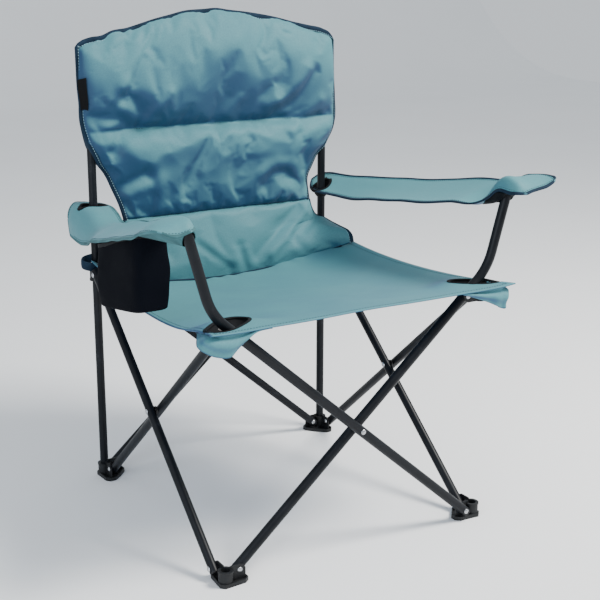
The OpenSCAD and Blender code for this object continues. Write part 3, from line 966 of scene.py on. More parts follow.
# ---------------------------------------------------------------- folds and stuffing
@dataclass(frozen=True)
class Fold:
    """One crease of the stuffed cloth, drawn on the back as a line of (x, z) places.

    The cloth rises along the line and falls off on both sides as a bell curve, with one
    width to the left of the line's direction and another to the right.
    """

    line: tuple[tuple[float, float], ...]
    rise: float
    left: float
    right: float

    def height(self, x: Array, z: Array) -> Array:
        """Rise of the cloth: rise times exp(-(distance to the line / width)^2).

        The width goes evenly from one side's to the other's round both ends.

        Args:
            x: first coordinate of each place.
            z: second coordinate of each place.

        Returns:
            Height at each place.
        """
        ends = np.asarray(self.line, float)
        a, d = ends[:-1], np.diff(ends, axis=0)
        q = np.stack([x, z], -1)[..., None, :] - a
        t = np.clip((q * d).sum(-1) / (d * d).sum(-1), 0, 1)
        off = q - t[..., None] * d
        far = np.linalg.norm(off, axis=-1)
        best = far.argmin(-1)[..., None]
        along = d / np.linalg.norm(d, axis=1, keepdims=True)
        turn = (along[:, 0] * off[..., 1] - along[:, 1] * off[..., 0]) / np.maximum(far, 1e-6)
        share = 0.5 + 0.5 * np.take_along_axis(turn, best, -1)[..., 0]
        near = np.take_along_axis(far, best, -1)[..., 0]
        width = self.right + (self.left - self.right) * share
        return self.rise * bell(near, width)


UPPER_FOLDS = (
    Fold(((-143, 866), (-112, 891), (-77, 911), (-41, 932), (-10, 953), (21, 978), (42, 995)),
         4.7, 35, 25),
    Fold(((130, 846), (163, 853), (196, 875), (218, 902), (232, 925)), 7.4, 19, 15),
    Fold(((157, 826), (196, 840), (224, 862), (243, 891), (260, 914)), -5.4, 15, 15),
    Fold(((120, 874), (144, 892), (168, 886)), -5.4, 22, 23),
    Fold(((-211, 913), (-198, 936), (-185, 962)), -4.1, 14, 14),
    Fold(((-235, 906), (-213, 935), (-195, 966)), 4.1, 15, 14),
    Fold(((-256, 861), (-239, 873), (-222, 883), (-208, 876)), -5.4, 15, 16),
    Fold(((-262, 877), (-245, 897), (-228, 914)), 4.1, 16, 14),
    Fold(((-178, 824), (-163, 845), (-142, 870), (-127, 887)), 5.4, 14, 14),
    Fold(((-231, 877), (-201, 860), (-182, 842), (-188, 822)), -4.7, 16, 14),
    Fold(((-285, 980), (-258, 977), (-225, 991)), -3.4, 14, 14),
    Fold(((112, 973), (123, 995), (134, 1017)), -3.4, 14, 14),
    Fold(((-8, 815), (11, 839), (27, 865)), -4.1, 15, 14),
    Fold(((24, 831), (42, 849), (58, 864)), 4.1, 14, 14),
    Fold(((199, 778), (232, 814), (277, 847)), 4.7, 17, 14),
    Fold(((218, 777), (266, 800), (306, 822)), -4.1, 14, 14),
    Fold(((-193, 811), (-245, 835), (-315, 841)), -5.4, 14, 14),
    Fold(((-250, 818), (-290, 812)), 3.4, 14, 14),
    Fold(((60, 905), (70, 940)), 2, 27, 27),
    Fold(((-20, 1010), (-28, 1052)), -1.6, 14, 14),
    Fold(((170, 1010), (164, 1036)), -2, 14, 14),
)
MIDDLE_FOLDS = (
    Fold(((-196, 809), (-237, 801), (-255, 765)), -4.6, 16, 16),
    Fold(((-83, 678), (-61, 711), (-37, 751), (-14, 779), (13, 802)), -5.2, 17, 16),
    Fold(((-44, 705), (-17, 745), (7, 773), (26, 797)), 4.1, 16, 16),
    Fold(((124, 655), (146, 677), (176, 679), (213, 662), (233, 640)), -5.2, 19, 17),
    Fold(((113, 685), (154, 708), (196, 695), (233, 665)), 4.1, 20, 16),
    Fold(((143, 619), (165, 644), (190, 637), (179, 621)), 4.6, 16, 16),
    Fold(((-244, 675), (-217, 697), (-187, 710)), -5.2, 16, 16),
    Fold(((-230, 658), (-205, 671), (-180, 680)), 3.4, 16, 16),
    Fold(((-255, 763), (-242, 784), (-225, 807)), -3.4, 16, 16),
    Fold(((-245, 644), (-214, 624), (-175, 616)), -3.4, 16, 16),
    Fold(((-175, 616), (-169, 647), (-173, 693)), -4.6, 16, 16),
    Fold(((-150, 627), (-144, 656), (-153, 692)), 2.9, 16, 20),
    Fold(((-226, 765), (-198, 745), (-171, 734)), 3.4, 18, 18),
    Fold(((60, 700), (72, 740), (80, 770)), -1.4, 16, 16),
)
LUMBAR_FOLDS = (
    Fold(((218, 596), (184, 566), (150, 540), (117, 512), (89, 488)), -7.2, 13, 20),
    Fold(((236, 582), (202, 546), (163, 514), (129, 491)), 6, 14, 14),
    Fold(((-25, 602), (-20, 564), (-8, 524), (5, 498)), -2.1, 11, 11),
    Fold(((43, 518), (51, 483), (64, 447)), -4.2, 11, 10),
    Fold(((27, 510), (37, 480), (42, 450)), 3, 11, 11),
    Fold(((59, 509), (75, 475)), 3, 11, 11),
    Fold(((-65, 533), (-29, 505), (18, 468)), -3, 11, 11),
    Fold(((-55, 544), (-19, 516), (24, 481)), 2.4, 12, 11),
    Fold(((195, 515), (218, 487), (242, 469)), -3, 11, 11),
    Fold(((100, 470), (150, 476), (190, 486)), 1.8, 11, 11),
)


def relief(folds: Sequence[Fold], x: Array, z: Array) -> Array:
    """Sum of the heights of all folds at each place."""
    return sum(fold.height(x, z) for fold in folds)


@dataclass(frozen=True)
class Puff:
    """Cloth simulation of a stuffed piece, run once and kept as its shape."""

    pressure: float
    slack: float
    frames: int
    cap: float
    stiffness: float = 18.0

    def swell(self, points: Array, faces: Array, held: Array) -> Array:
        """Swells a closed skin between its held points.

        Args:
            points: vertices in millimetres.
            faces: quads.
            held: one flag for each vertex that stays in place.

        Returns:
            The vertices after the simulation, none further than cap from its start.
        """
        obj = make_mesh("swelling", points, faces)
        group = obj.vertex_groups.new(name="held")
        group.add(np.flatnonzero(held).tolist(), 1.0, "REPLACE")
        cloth = obj.modifiers.new("cloth", "CLOTH")
        s = cloth.settings
        s.quality = 6
        s.mass = 0.25
        s.tension_stiffness = s.compression_stiffness = self.stiffness
        s.shear_stiffness = self.stiffness / 3
        s.bending_stiffness = 0.6
        s.tension_damping = s.compression_damping = 8
        s.air_damping = 3
        s.shrink_min = -self.slack
        s.use_pressure = True
        s.uniform_pressure_force = self.pressure
        s.vertex_group_mass = "held"
        s.pin_stiffness = 1.0
        s.effector_weights.gravity = 0.0
        cloth.collision_settings.use_collision = False
        cloth.point_cache.frame_start = 1
        cloth.point_cache.frame_end = self.frames
        scene = bpy.context.scene
        for number in range(1, self.frames + 1):
            scene.frame_set(number)
        evaluated = obj.evaluated_get(bpy.context.evaluated_depsgraph_get())
        moved = read_out(evaluated.data.vertices, "co") / MM - points
        far = np.linalg.norm(moved, axis=1, keepdims=True)
        moved *= np.minimum(1.0, self.cap / np.maximum(far, 1e-9))
        bpy.data.objects.remove(obj)
        scene.frame_set(1)
        return points + moved


def stuffed(name: str, middle: Array, front: Array, rear: Array, seam: Array,
            puff: Puff) -> tuple[Piece, Patch, Patch]:
    """Closed pad round a middle surface, held at its rim and its seam and swollen between.

    Args:
        name: object name.
        middle: grid of the middle surface.
        front: distance of the front cloth from it at each point.
        rear: distance of the rear cloth from it.
        seam: one flag for each point where both faces are sewn together.
        puff: the simulation.

    Returns:
        The pad, its front cloth and its rear cloth.
    """
    n = forwards(sheet_normals(middle))
    points, faces = two_sided(middle + n * front[..., None], middle - n * rear[..., None])
    held = seam.copy()
    held[[0, -1]] = held[:, [0, -1]] = True
    points = puff.swell(points, faces, np.tile(held.ravel(), 2))
    count = held.size
    skins = [Patch(half.reshape(middle.shape)) for half in (points[:count], points[count:])]
    log.info("%s: %d points", name, len(points))
    return make_mesh(name, points, faces, skins[0].cloth_map()), *skins


# ---------------------------------------------------------------- frame
@dataclass
class Skeleton:
    """The tubes, mouldings and rivets, which keep their shapes and get their finishes."""

    wardrobe: Wardrobe
    finishes: tuple[tuple[str, str], ...] = (
        ("rivet", "rivet_steel"), ("plugs", "plug_nylon"), ("post_cap", "plug_nylon"),
        ("spacer", "plug_nylon"), ("foot", "black_nylon"), ("slider", "black_nylon"),
        ("bracket", "black_nylon"), ("post", "black_coat"), ("front_tube", "black_coat"),
        ("back_tube", "black_coat"), ("side_tube", "black_coat"))

    def dress(self) -> int:
        """Gives every rigid node its finish.

        Returns:
            How many nodes got one.
        """
        count = 0
        for name, obj in sorted(frame["nodes"].items()):
            match = [f for start, f in self.finishes if name.startswith(start)]
            if match:
                self.wardrobe.dress(obj, match[0])
                count += 1
        return count


# ---------------------------------------------------------------- padded back
@dataclass
class BackPad:
    """Upper part of the back: two stuffed panels above the lumbar seam, sleeved on the posts."""

    wardrobe: Wardrobe
    seam_z: float = 808.0        # seam between both panels
    seam_reach: float = 190.0    # how far it runs to each side
    bulge_z: float = 778.0       # thickest line of the lower panel
    columns: int = 137
    rows: int = 115
    front: Patch | None = None
    rear: Patch | None = None

    def half_width(self, x: Array, z: Array) -> Array:
        """Distance from the middle to the edge on the side of x at height z, drawn through
        places measured in the photo."""
        z = np.minimum(z, SHOULDER)
        left = through([606, 638, 678, 715, 736, 789, 831, 883, 928, 985],
                       [233, 241, 257, 274, 289, 314, 324, 325, 327, 328], z)
        right = through([606, 625, 667, 688, 711, 741, 774, 793, 857, 914, 985],
                        [257, 255, 256, 268, 281, 307, 328, 333, 333, 331, 330], z)
        return np.where(x < 0, left, right)

    def top_z(self, x: Array) -> Array:
        """Height of the arched top at x."""
        return through(
            [-332, -327, -318, -296, -266, -244, -209, -178, -141, -104, -67, -17, 16, 39, 96,
             171, 220, 259, 299, 320, 328, 333],
            [984, 993, 1000, 1008, 1012, 1021, 1026, 1034, 1044, 1052, 1060, 1063, 1064.5,
             1061, 1054, 1041, 1029, 1021, 1012, 1001, 991, 982], x)

    def middle(self) -> Array:
        """Grid of the pad's middle surface.

        Rows go up evenly from the lumbar seam; above the shoulders they bend by the arch of
        the top, more towards it. Columns spread over the width at each height.
        """
        u, v = np.meshgrid(np.linspace(-1, 1, self.columns), np.linspace(0, 1, self.rows))
        flat = LUMBAR_SEAM + (BACK_TOP - LUMBAR_SEAM) * v
        x = u * self.half_width(u, flat)
        z = flat + (self.top_z(x) - BACK_TOP) * ease((v - 0.42) / 0.58) ** 1.3
        y = through([600, 660, 710, 808, 1070], [288, 294, 296.5, 296, 298], z)
        return np.stack([x, y, z], -1)

    def crest(self, x: Array) -> Array:
        """Height of the most forward line of the upper panel at x."""
        return through([-330, -290, -240, -195, -150, -112, -77, -41, -10, 25, 45, 80, 115, 150,
                        200, 250, 330],
                       [930, 890, 880, 900, 878, 893, 908, 928, 948, 968, 972, 955, 935, 925,
                        930, 925, 930], x)

    def panels(self, x: Array, z: Array, half: Array, top_z: Array) -> Array:
        """How far both panels stand out: each is thickest at its own line, the upper one at
        the crest and the lower one near its seam, and thinner towards the sides."""
        crest = self.crest(x)
        above = np.clip((top_z - z) / (top_z - crest), 0, 1)
        below = np.clip((z - self.seam_z) / (crest - self.seam_z), 0, 1)
        upper = 19.0 * np.minimum(np.sin(math.pi / 2 * above) ** 1.1,
                                  np.sin(math.pi / 2 * below) ** 0.85)
        over = np.clip((self.seam_z - z) / (self.seam_z - self.bulge_z), 0, 1)
        under = np.clip((z - LUMBAR_SEAM) / (self.bulge_z - LUMBAR_SEAM), 0, 1)
        lower = 17.0 * np.minimum(np.sin(math.pi / 2 * over), under * (1.2 - 0.2 * under))
        out = np.where(z > self.seam_z, upper, lower)
        return out * (0.45 + 0.55 * ease((half - np.abs(x)) / 90.0))

    def offsets(self, p: Array) -> tuple[Array, Array]:
        """How far the front and the rear cloth lie from the middle surface before stuffing.

        A quarter ellipse rises from the rim; round the posts' mouths the rim is held open;
        the seam pulls both faces together; folds, gathers under the top tape and puckers
        along the seams come on top.

        Args:
            p: grid of the middle surface.

        Returns:
            Front and rear distances for each point.
        """
        x, z = p[..., 0], p[..., 2]
        half, top_z = self.half_width(x, z), self.top_z(x)
        side = np.clip((half - np.abs(x) - 5.0) / 24.0, 0, 1)
        top = np.clip((top_z - z - 9.0) / 20.0, 0, 1)
        low = np.clip((z - LUMBAR_SEAM) / 18.0, 0, 1)
        rise = quarter_round(side) * quarter_round(top) * quarter_round(low)
        mouth = bell(half - 303.0, 13.0) * (z < 860)
        sleeve = bell(np.abs(x) - HUB, 13.0) * ease((z - 720) / 40) * ease((1004 - z) / 14.0)
        panels = self.panels(x, z, half, top_z)
        groove = (bell(z - self.seam_z - 1.5, 9.0)
                  * (1 - ease((np.abs(x + 6) - self.seam_reach + 8) / 30.0)))
        wrinkle = relief(UPPER_FOLDS + MIDDLE_FOLDS, x, z) + 0.8 * ripple(x, z, 5, 60.0)
        gather = (np.sin(x / 7.0 + 2.0 * np.sin(x / 23.0)) * ripple(x, 0 * x, 17, 90.0)
                  * bell(top_z - z - 12, 11.0) * 1.3)
        pucker = (np.sin(x / 5.5 + np.sin(x / 17.0)) * 0.8
                  * (bell(np.abs(z - self.seam_z) - 9, 8.0) + bell(z - LUMBAR_SEAM - 10, 9.0)))
        front = 2.2 + 5.5 * mouth + (9.5 + panels + wrinkle + gather + pucker - 4 * mouth) * rise
        rear = 2.2 + 14.0 * mouth + (6.0 + 0.25 * panels + ripple(x, z, 6, 90.0)
                                     - 4.0 * mouth) * rise + 13.0 * sleeve * (1 - mouth)
        front = np.maximum(front, 1.2) * (1 - 0.86 * groove)
        return np.maximum(front, 8.5 * sleeve), rear * (1 - 0.75 * groove * (1 - sleeve))

    def build(self) -> None:
        """Builds the stuffed pad and its sewn details."""
        p = self.middle()
        front, rear = self.offsets(p)
        seam = (np.abs(p[..., 2] - self.seam_z) < 3.2) & (np.abs(p[..., 0] + 4) < self.seam_reach)
        puff = Puff(pressure=1.4, slack=0.012, frames=22, cap=10.0)
        pad, self.front, self.rear = stuffed("back_pad", p, front, rear, seam, puff)
        self.wardrobe.dress(pad, "pad_cloth")
        # paints shade into the pad's cloth from the LIT_SIDE light direction
        fold_shade(pad, LIT_SIDE, 0.20, 0.67)
        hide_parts("backrest")
        self.carry(pad, rounding=1)
        self.trim()

    def carry(self, obj: Piece, rounding: int = 0) -> Piece:
        """Hangs a piece of the back between both posts, pleated when the chair is closed."""
        pulls = ((Carrier.REAR_RIGHT, share_x), (Carrier.FOOT, back_pleat))
        return hang(obj, Carrier.REAR_LEFT, pulls, rounding)

    def rim(self) -> tuple[Array, Array, Array, Array]:
        """Edge of the back from the lower left, over the top, to the lower right.

        Returns:
            Middle of the edge, inward direction, front normal, and thickness at each point.
        """
        def walk(g: Array, k: int) -> Array:
            return np.concatenate([g[:, k], g[-1 - k, 1:-1], g[::-1, -1 - k]])

        f, r = self.front.points, self.rear.points
        edge, gap = (walk(f, 0) + walk(r, 0)) / 2, walk(f, 0) - walk(r, 0)
        normal = unit(gap)
        inward = square_to(walk((f + r) / 2, 2) - edge, normal)
        return edge, inward, normal, np.linalg.norm(gap, axis=1)

    def trim(self) -> None:
        """Sews the edge tape, its stitches and the seam stitches."""
        edge, inward, normal, thick = self.rim()
        top = ease((edge[:, 2] - SHOULDER) / 25.0)
        wave = ripple(edge[:, 0], edge[:, 2], 3, 34.0) * 0.5 * top
        width = (6.5 + 4.0 * top + wave)[:, None]
        half = (thick / 2 + 1.5)[:, None]
        tape = bound_edge("back_edge_tape", edge, inward, normal, width, 2 * half, bend=2.4,
                          tuck=1.5)
        u = np.linspace(0.19, 0.80, 90)
        row = (self.seam_z - LUMBAR_SEAM) / (BACK_TOP - LUMBAR_SEAM)
        seam = sewn("back_seam_stitches", *self.front.read(u, np.full_like(u, row)), lift=0.5)
        hem = edge + inward * (width - 1.6) + normal * (half * 1.45)
        stitches = sewn("back_edge_stitches", hem, normal, lift=0.6)
        for piece, finish in ((tape, "navy_tape_and_loop_shade"), (seam, "thread_dark"),
                              (stitches, "thread_pale")):
            self.carry(self.wardrobe.dress(piece, finish))


@dataclass
class LumbarPad:
    """Stuffed panel between the lumbar seam and the seat, with a wing round each side."""

    wardrobe: Wardrobe
    columns: int = 111
    rows: int = 61

    def foot_line(self, u: Array) -> Array:
        """Lower edge on the seat, from the left wing tip to the right one."""
        half = np.array([(0, 258, 450), (122, 254, 457), (215, 240, 470), (264, 212, 489),
                         (303, 163, 518)])
        places = np.concatenate([half[:0:-1] * [-1, 1, 1], half])
        return through([-1, -0.85, -0.7, -0.4, 0, 0.4, 0.7, 0.85, 1], places, u)

    def side_line(self, v: Array) -> Array:
        """Right edge from the wing tip up round the wing to the seam; the left one is mirrored."""
        return through([0, 0.1, 0.2, 0.34, 0.48, 0.58, 0.72, 0.86, 1],
                       [(303, 163, 518), (304, 170, 532), (305, 184, 540), (306, 222, 544),
                        (305, 262, 549), (299, 283, 556), (276, 288, 568), (264, 288, 588),
                        (258, 287, 607)], v)

    def middle(self) -> Array:
        """Grid of the middle surface.

        Straight lines run from the lower edge up to the seam. To them comes the bend of each
        side edge away from its own straight line, fading towards the middle with the third
        power of the distance from it.
        """
        u = np.linspace(-1, 1, self.columns)
        v = np.linspace(0, 1, self.rows)
        low = self.foot_line(u)
        top = np.stack([245.5 * u + 11.5, np.full_like(u, 287.0), np.full_like(u, 607.0)], -1)
        t = v[:, None, None]
        ruled = low[None] * (1 - t) + top[None] * t
        edge = self.side_line(v)
        bend = edge - (edge[0] * (1 - t[:, 0]) + edge[-1] * t[:, 0])
        share = (np.abs(u) ** 3)[None, :, None]
        mirror = np.where(u < 0, -1.0, 1.0)[None, :, None] * [1, 0, 0] + [0, 1, 1]
        return ruled + bend[:, None] * share * mirror

    def build(self) -> None:
        """Builds the stuffed panel, the tapes and stitches of its wings, and its foot piping."""
        p = self.middle()
        u, v = np.meshgrid(np.linspace(-1, 1, self.columns), np.linspace(0, 1, self.rows))
        side = np.clip((1 - np.abs(u)) / 0.11, 0, 1)
        ends = np.clip((1 - v) / 0.10, 0, 1)
        rise = (quarter_round(side) * quarter_round(ends)
                * np.sin(math.pi / 2 * np.clip(v / 0.30, 0, 1)))
        wrinkle = relief(LUMBAR_FOLDS, p[..., 0], p[..., 2])
        wrinkle = wrinkle + 0.8 * ripple(p[..., 0], p[..., 2], 12, 70.0)
        front = np.maximum(2.0 + (11.0 + 4.0 * np.sin(math.pi * v) ** 0.7 * (1 - u ** 4)
                                  + wrinkle) * rise, 1.2)
        puff = Puff(pressure=0.8, slack=0.004, frames=18, cap=7.0)
        pad, face, lining = stuffed("lumbar_pad", p, front, 2.0 + 7.0 * rise,
                                    np.zeros(p.shape[:2], bool), puff)
        self.wardrobe.dress(pad, "pad_cloth")
        # paints shade into the lumbar cloth from the LIT_SIDE light direction
        fold_shade(pad, LIT_SIDE, -0.28, 0.32)
        self.carry(pad, rounding=1)
        for side, column, inner in (("left", 0, 2), ("right", -1, -3)):
            f, r = face.points, lining.points
            edge, gap = (f[:, column] + r[:, column]) / 2, f[:, column] - r[:, column]
            normal, thick = unit(gap), np.linalg.norm(gap, axis=1)
            inward = square_to((f[:, inner] + r[:, inner]) / 2 - edge, normal)
            tape = bound_edge(f"wing_tape_{side}", edge, inward, normal, 6.5, thick + 4.0)
            self.carry(self.wardrobe.dress(tape, "navy_tape_and_loop_shade"))
            line = edge + inward * 5.0 + normal * (thick[:, None] / 2 + 2.4)
            stitches = sewn(f"wing_stitches_{side}", line, normal, lift=0.4)
            self.carry(self.wardrobe.dress(stitches, "thread_pale"))
        path = self.foot_line(np.linspace(-0.93, 0.93, 120)) + [0, -3.0, 2.5]
        along = tangents(path)
        out = unit(np.cross(along, [0.0, 0, 1]))
        cord = carried(path, out, np.cross(out, along), oval(4.6, 4.6))
        self.carry(self.wardrobe.dress(make_mesh("lumbar_foot_piping", *cord), "navy_tape_and_loop_shade"))

    def carry(self, obj: Piece, rounding: int = 0) -> Piece:
        """Hangs a piece between the back and the rear of the seat.

        Its top follows the back's pleats, and its wing tips rise with the seat corners.
        """
        def rearward(p: Array) -> Array:
            up = ease((p[:, 2] - 470.0) / 130.0)
            return back_pleat(p) * up + share_y(p) * (1 - up)

        def upward(p: Array) -> Array:
            out = ease((np.abs(p[:, 0]) - 200.0) / 90.0)
            return out * (1 - ease((p[:, 2] - 520.0) / 85.0))

        pulls = ((Carrier.REAR_RIGHT, share_x), (Carrier.FOOT, rearward),
                 (Carrier.SLIDER, upward))
        return hang(obj, Carrier.REAR_LEFT, pulls, rounding)


# ---------------------------------------------------------------- slots for tubes
def tube_at(node: str, z: float) -> Array:
    """Where a tube of the frame passes a height: each edge that crosses it is cut there.

    Args:
        node: name of the frame's node.
        z: height in millimetres.

    Returns:
        Middle x and y and half width in x and y, in millimetres.
    """
    mesh = frame["nodes"][node].data
    ends = read_out(mesh.edges, "vertices", 2, np.int32)
    a, b = (read_out(mesh.vertices, "co")[ends] / MM).transpose(1, 0, 2)
    cross = (a[:, 2] - z) * (b[:, 2] - z) < 0
    a, b = a[cross], b[cross]
    cut = a + (b - a) * ((z - a[:, 2:]) / (b[:, 2:] - a[:, 2:]))
    low, high = cut.min(0)[:2], cut.max(0)[:2]
    return np.concatenate([low + high, high - low]).astype(float) / 2


def shade_funnel(wardrobe: Wardrobe, name: str, ring: Array, node: str, z: float) -> Piece:
    """Black sheet that closes a slot, painted shade for the dark inside of the opening: rings go
    from its rim down to a ring round the tube.

    Args:
        wardrobe: the finishes.
        name: object name.
        ring: rim of the slot.
        node: the frame's tube that passes through it.
        z: height of the lower ring.

    Returns:
        The black sheet.
    """
    cx, cy, hx, hy = tube_at(node, z)
    clear = 1.2
    turn = np.arctan2(ring[:, 1] - ring[:, 1].mean(), ring[:, 0] - ring[:, 0].mean())
    low = np.stack([cx + (hx + clear) * np.cos(turn), cy + (hy + clear) * np.sin(turn),
                    np.full_like(turn, z)], -1)
    t = np.linspace(0, 1, 9)[:, None, None]
    rings = (ring - [0, 0, 2.0])[None] * (1 - t) + low[None] * t
    way = np.linalg.norm((ring - low)[:, :2], axis=1)
    rings[..., 2] -= 5.0 * np.sin(math.pi * t[..., 0]) * (way / 40.0)
    # black sheet in the slot: painted shade of its inside
    piece = wardrobe.dress(tube_wall(name, rings, 1.2), "black_tape_and_slot_shade")
    return piece


@dataclass(frozen=True)
class Slot:
    """Opening in a sheet of cloth for a tube.

    It is the set of places with |a|^power + |b|^power < 1, a and b being the distances from
    its middle, along and across it, over its half length and its half width.
    """

    middle: tuple[float, float]
    half: tuple[float, float]
    along: tuple[float, float] = (1.0, 0.0)
    power: float = 2.0

    def cut(self, points: Array, cells: Array, keep: Array) -> Array:
        """Cuts the slot out of a sheet.

        Cells with their middle inside are left out. The corners on the new rim move onto the
        outline, and each one's height becomes the mean of seven in a row.

        Args:
            points: all points of the sheet, changed in place.
            cells: corner numbers of its cells.
            keep: one flag for each cell, changed in place.

        Returns:
            The rim's points in order.
        """
        c, axis = np.array(self.middle), unit(np.array(self.along))
        axes = np.stack([axis, [-axis[1], axis[0]]])
        local = (points[:, :2] - c) @ axes.T / self.half
        inside = (np.abs(local[cells].mean(2)) ** self.power).sum(-1) < 1
        keep &= ~inside
        ids = np.intersect1d(cells[inside], cells[~inside])
        size = (np.abs(local[ids]) ** self.power).sum(-1, keepdims=True) ** (1 / self.power)
        out = local[ids] / size
        points[ids, :2] = c + (out * self.half) @ axes
        ids = ids[np.argsort(np.arctan2(out[:, 1], out[:, 0]))]
        points[ids, 2] = np.mean([np.roll(points[ids, 2], k) for k in range(-3, 4)], axis=0)
        return points[ids]

    def trim(self, wardrobe: Wardrobe, name: str, side: Side, ring: Array, up: Array,
             gap: float, node: str, z: float) -> list[Piece]:
        """Binds the rim with black tape and closes the slot with a black sheet of painted shade.

        Args:
            wardrobe: the finishes.
            name: first part of the pieces' names.
            side: side of the chair.
            ring: the rim in even steps.
            up: unit normal of the sheet at each point of the rim.
            gap: outer thickness of the tape.
            node: the frame's tube that passes through the slot.
            z: height where the black sheet ends round the tube.

        Returns:
            The tape and the lining.
        """
        out = unit(np.cross(up, tangents(ring, closed=True)))
        spoke = (ring - [*self.middle, 0]) * [1, 1, 0]
        out = out * np.sign((spoke * out).sum(1, keepdims=True))
        tape = bound_edge(f"{name}_tape_{side.tag}", ring, out, up, EDGE_TAPE, gap, closed=True)
        wardrobe.dress(tape, "black_tape_and_slot_shade")
        # the piece named lining is the black sheet of painted shade inside the slot
        return [tape, shade_funnel(wardrobe, f"{name}_lining_{side.tag}", ring, node, z)]


# ---------------------------------------------------------------- seat
SEAT_SLOTS = {
    Side.LEFT: Slot((-281.0, -286.0), (59.0, 27.0), (0.84, 0.54), 2.6),
    Side.RIGHT: Slot((306.0, -277.0), (52.0, 21.0), (-0.80, 0.60), 2.6),
}
ARM_TUBES = {Side.LEFT: "front_tube_b", Side.RIGHT: "front_tube_a"}
POCKET_RIMS = {  # lower edge of each corner pocket: share of the way round, and place
    Side.LEFT: ([0, 0.12, 0.26, 0.40, 0.52, 0.62, 0.72, 0.86, 1],
                [(-222, -342, 513), (-262, -345, 511), (-290, -346, 486), (-314, -347, 472),
                 (-344, -346, 479), (-366, -338, 493), (-362, -318, 499), (-346, -290, 500),
                 (-334, -264, 499)]),
    Side.RIGHT: ([0, 0.14, 0.32, 0.48, 0.58, 0.66, 0.76, 0.88, 1],
                 [(222, -342, 513), (252, -344, 502), (296, -346, 484), (322, -346, 471),
                  (332, -344, 472), (340, -334, 486), (346, -312, 496), (344, -290, 500),
                  (338, -262, 504)]),
}


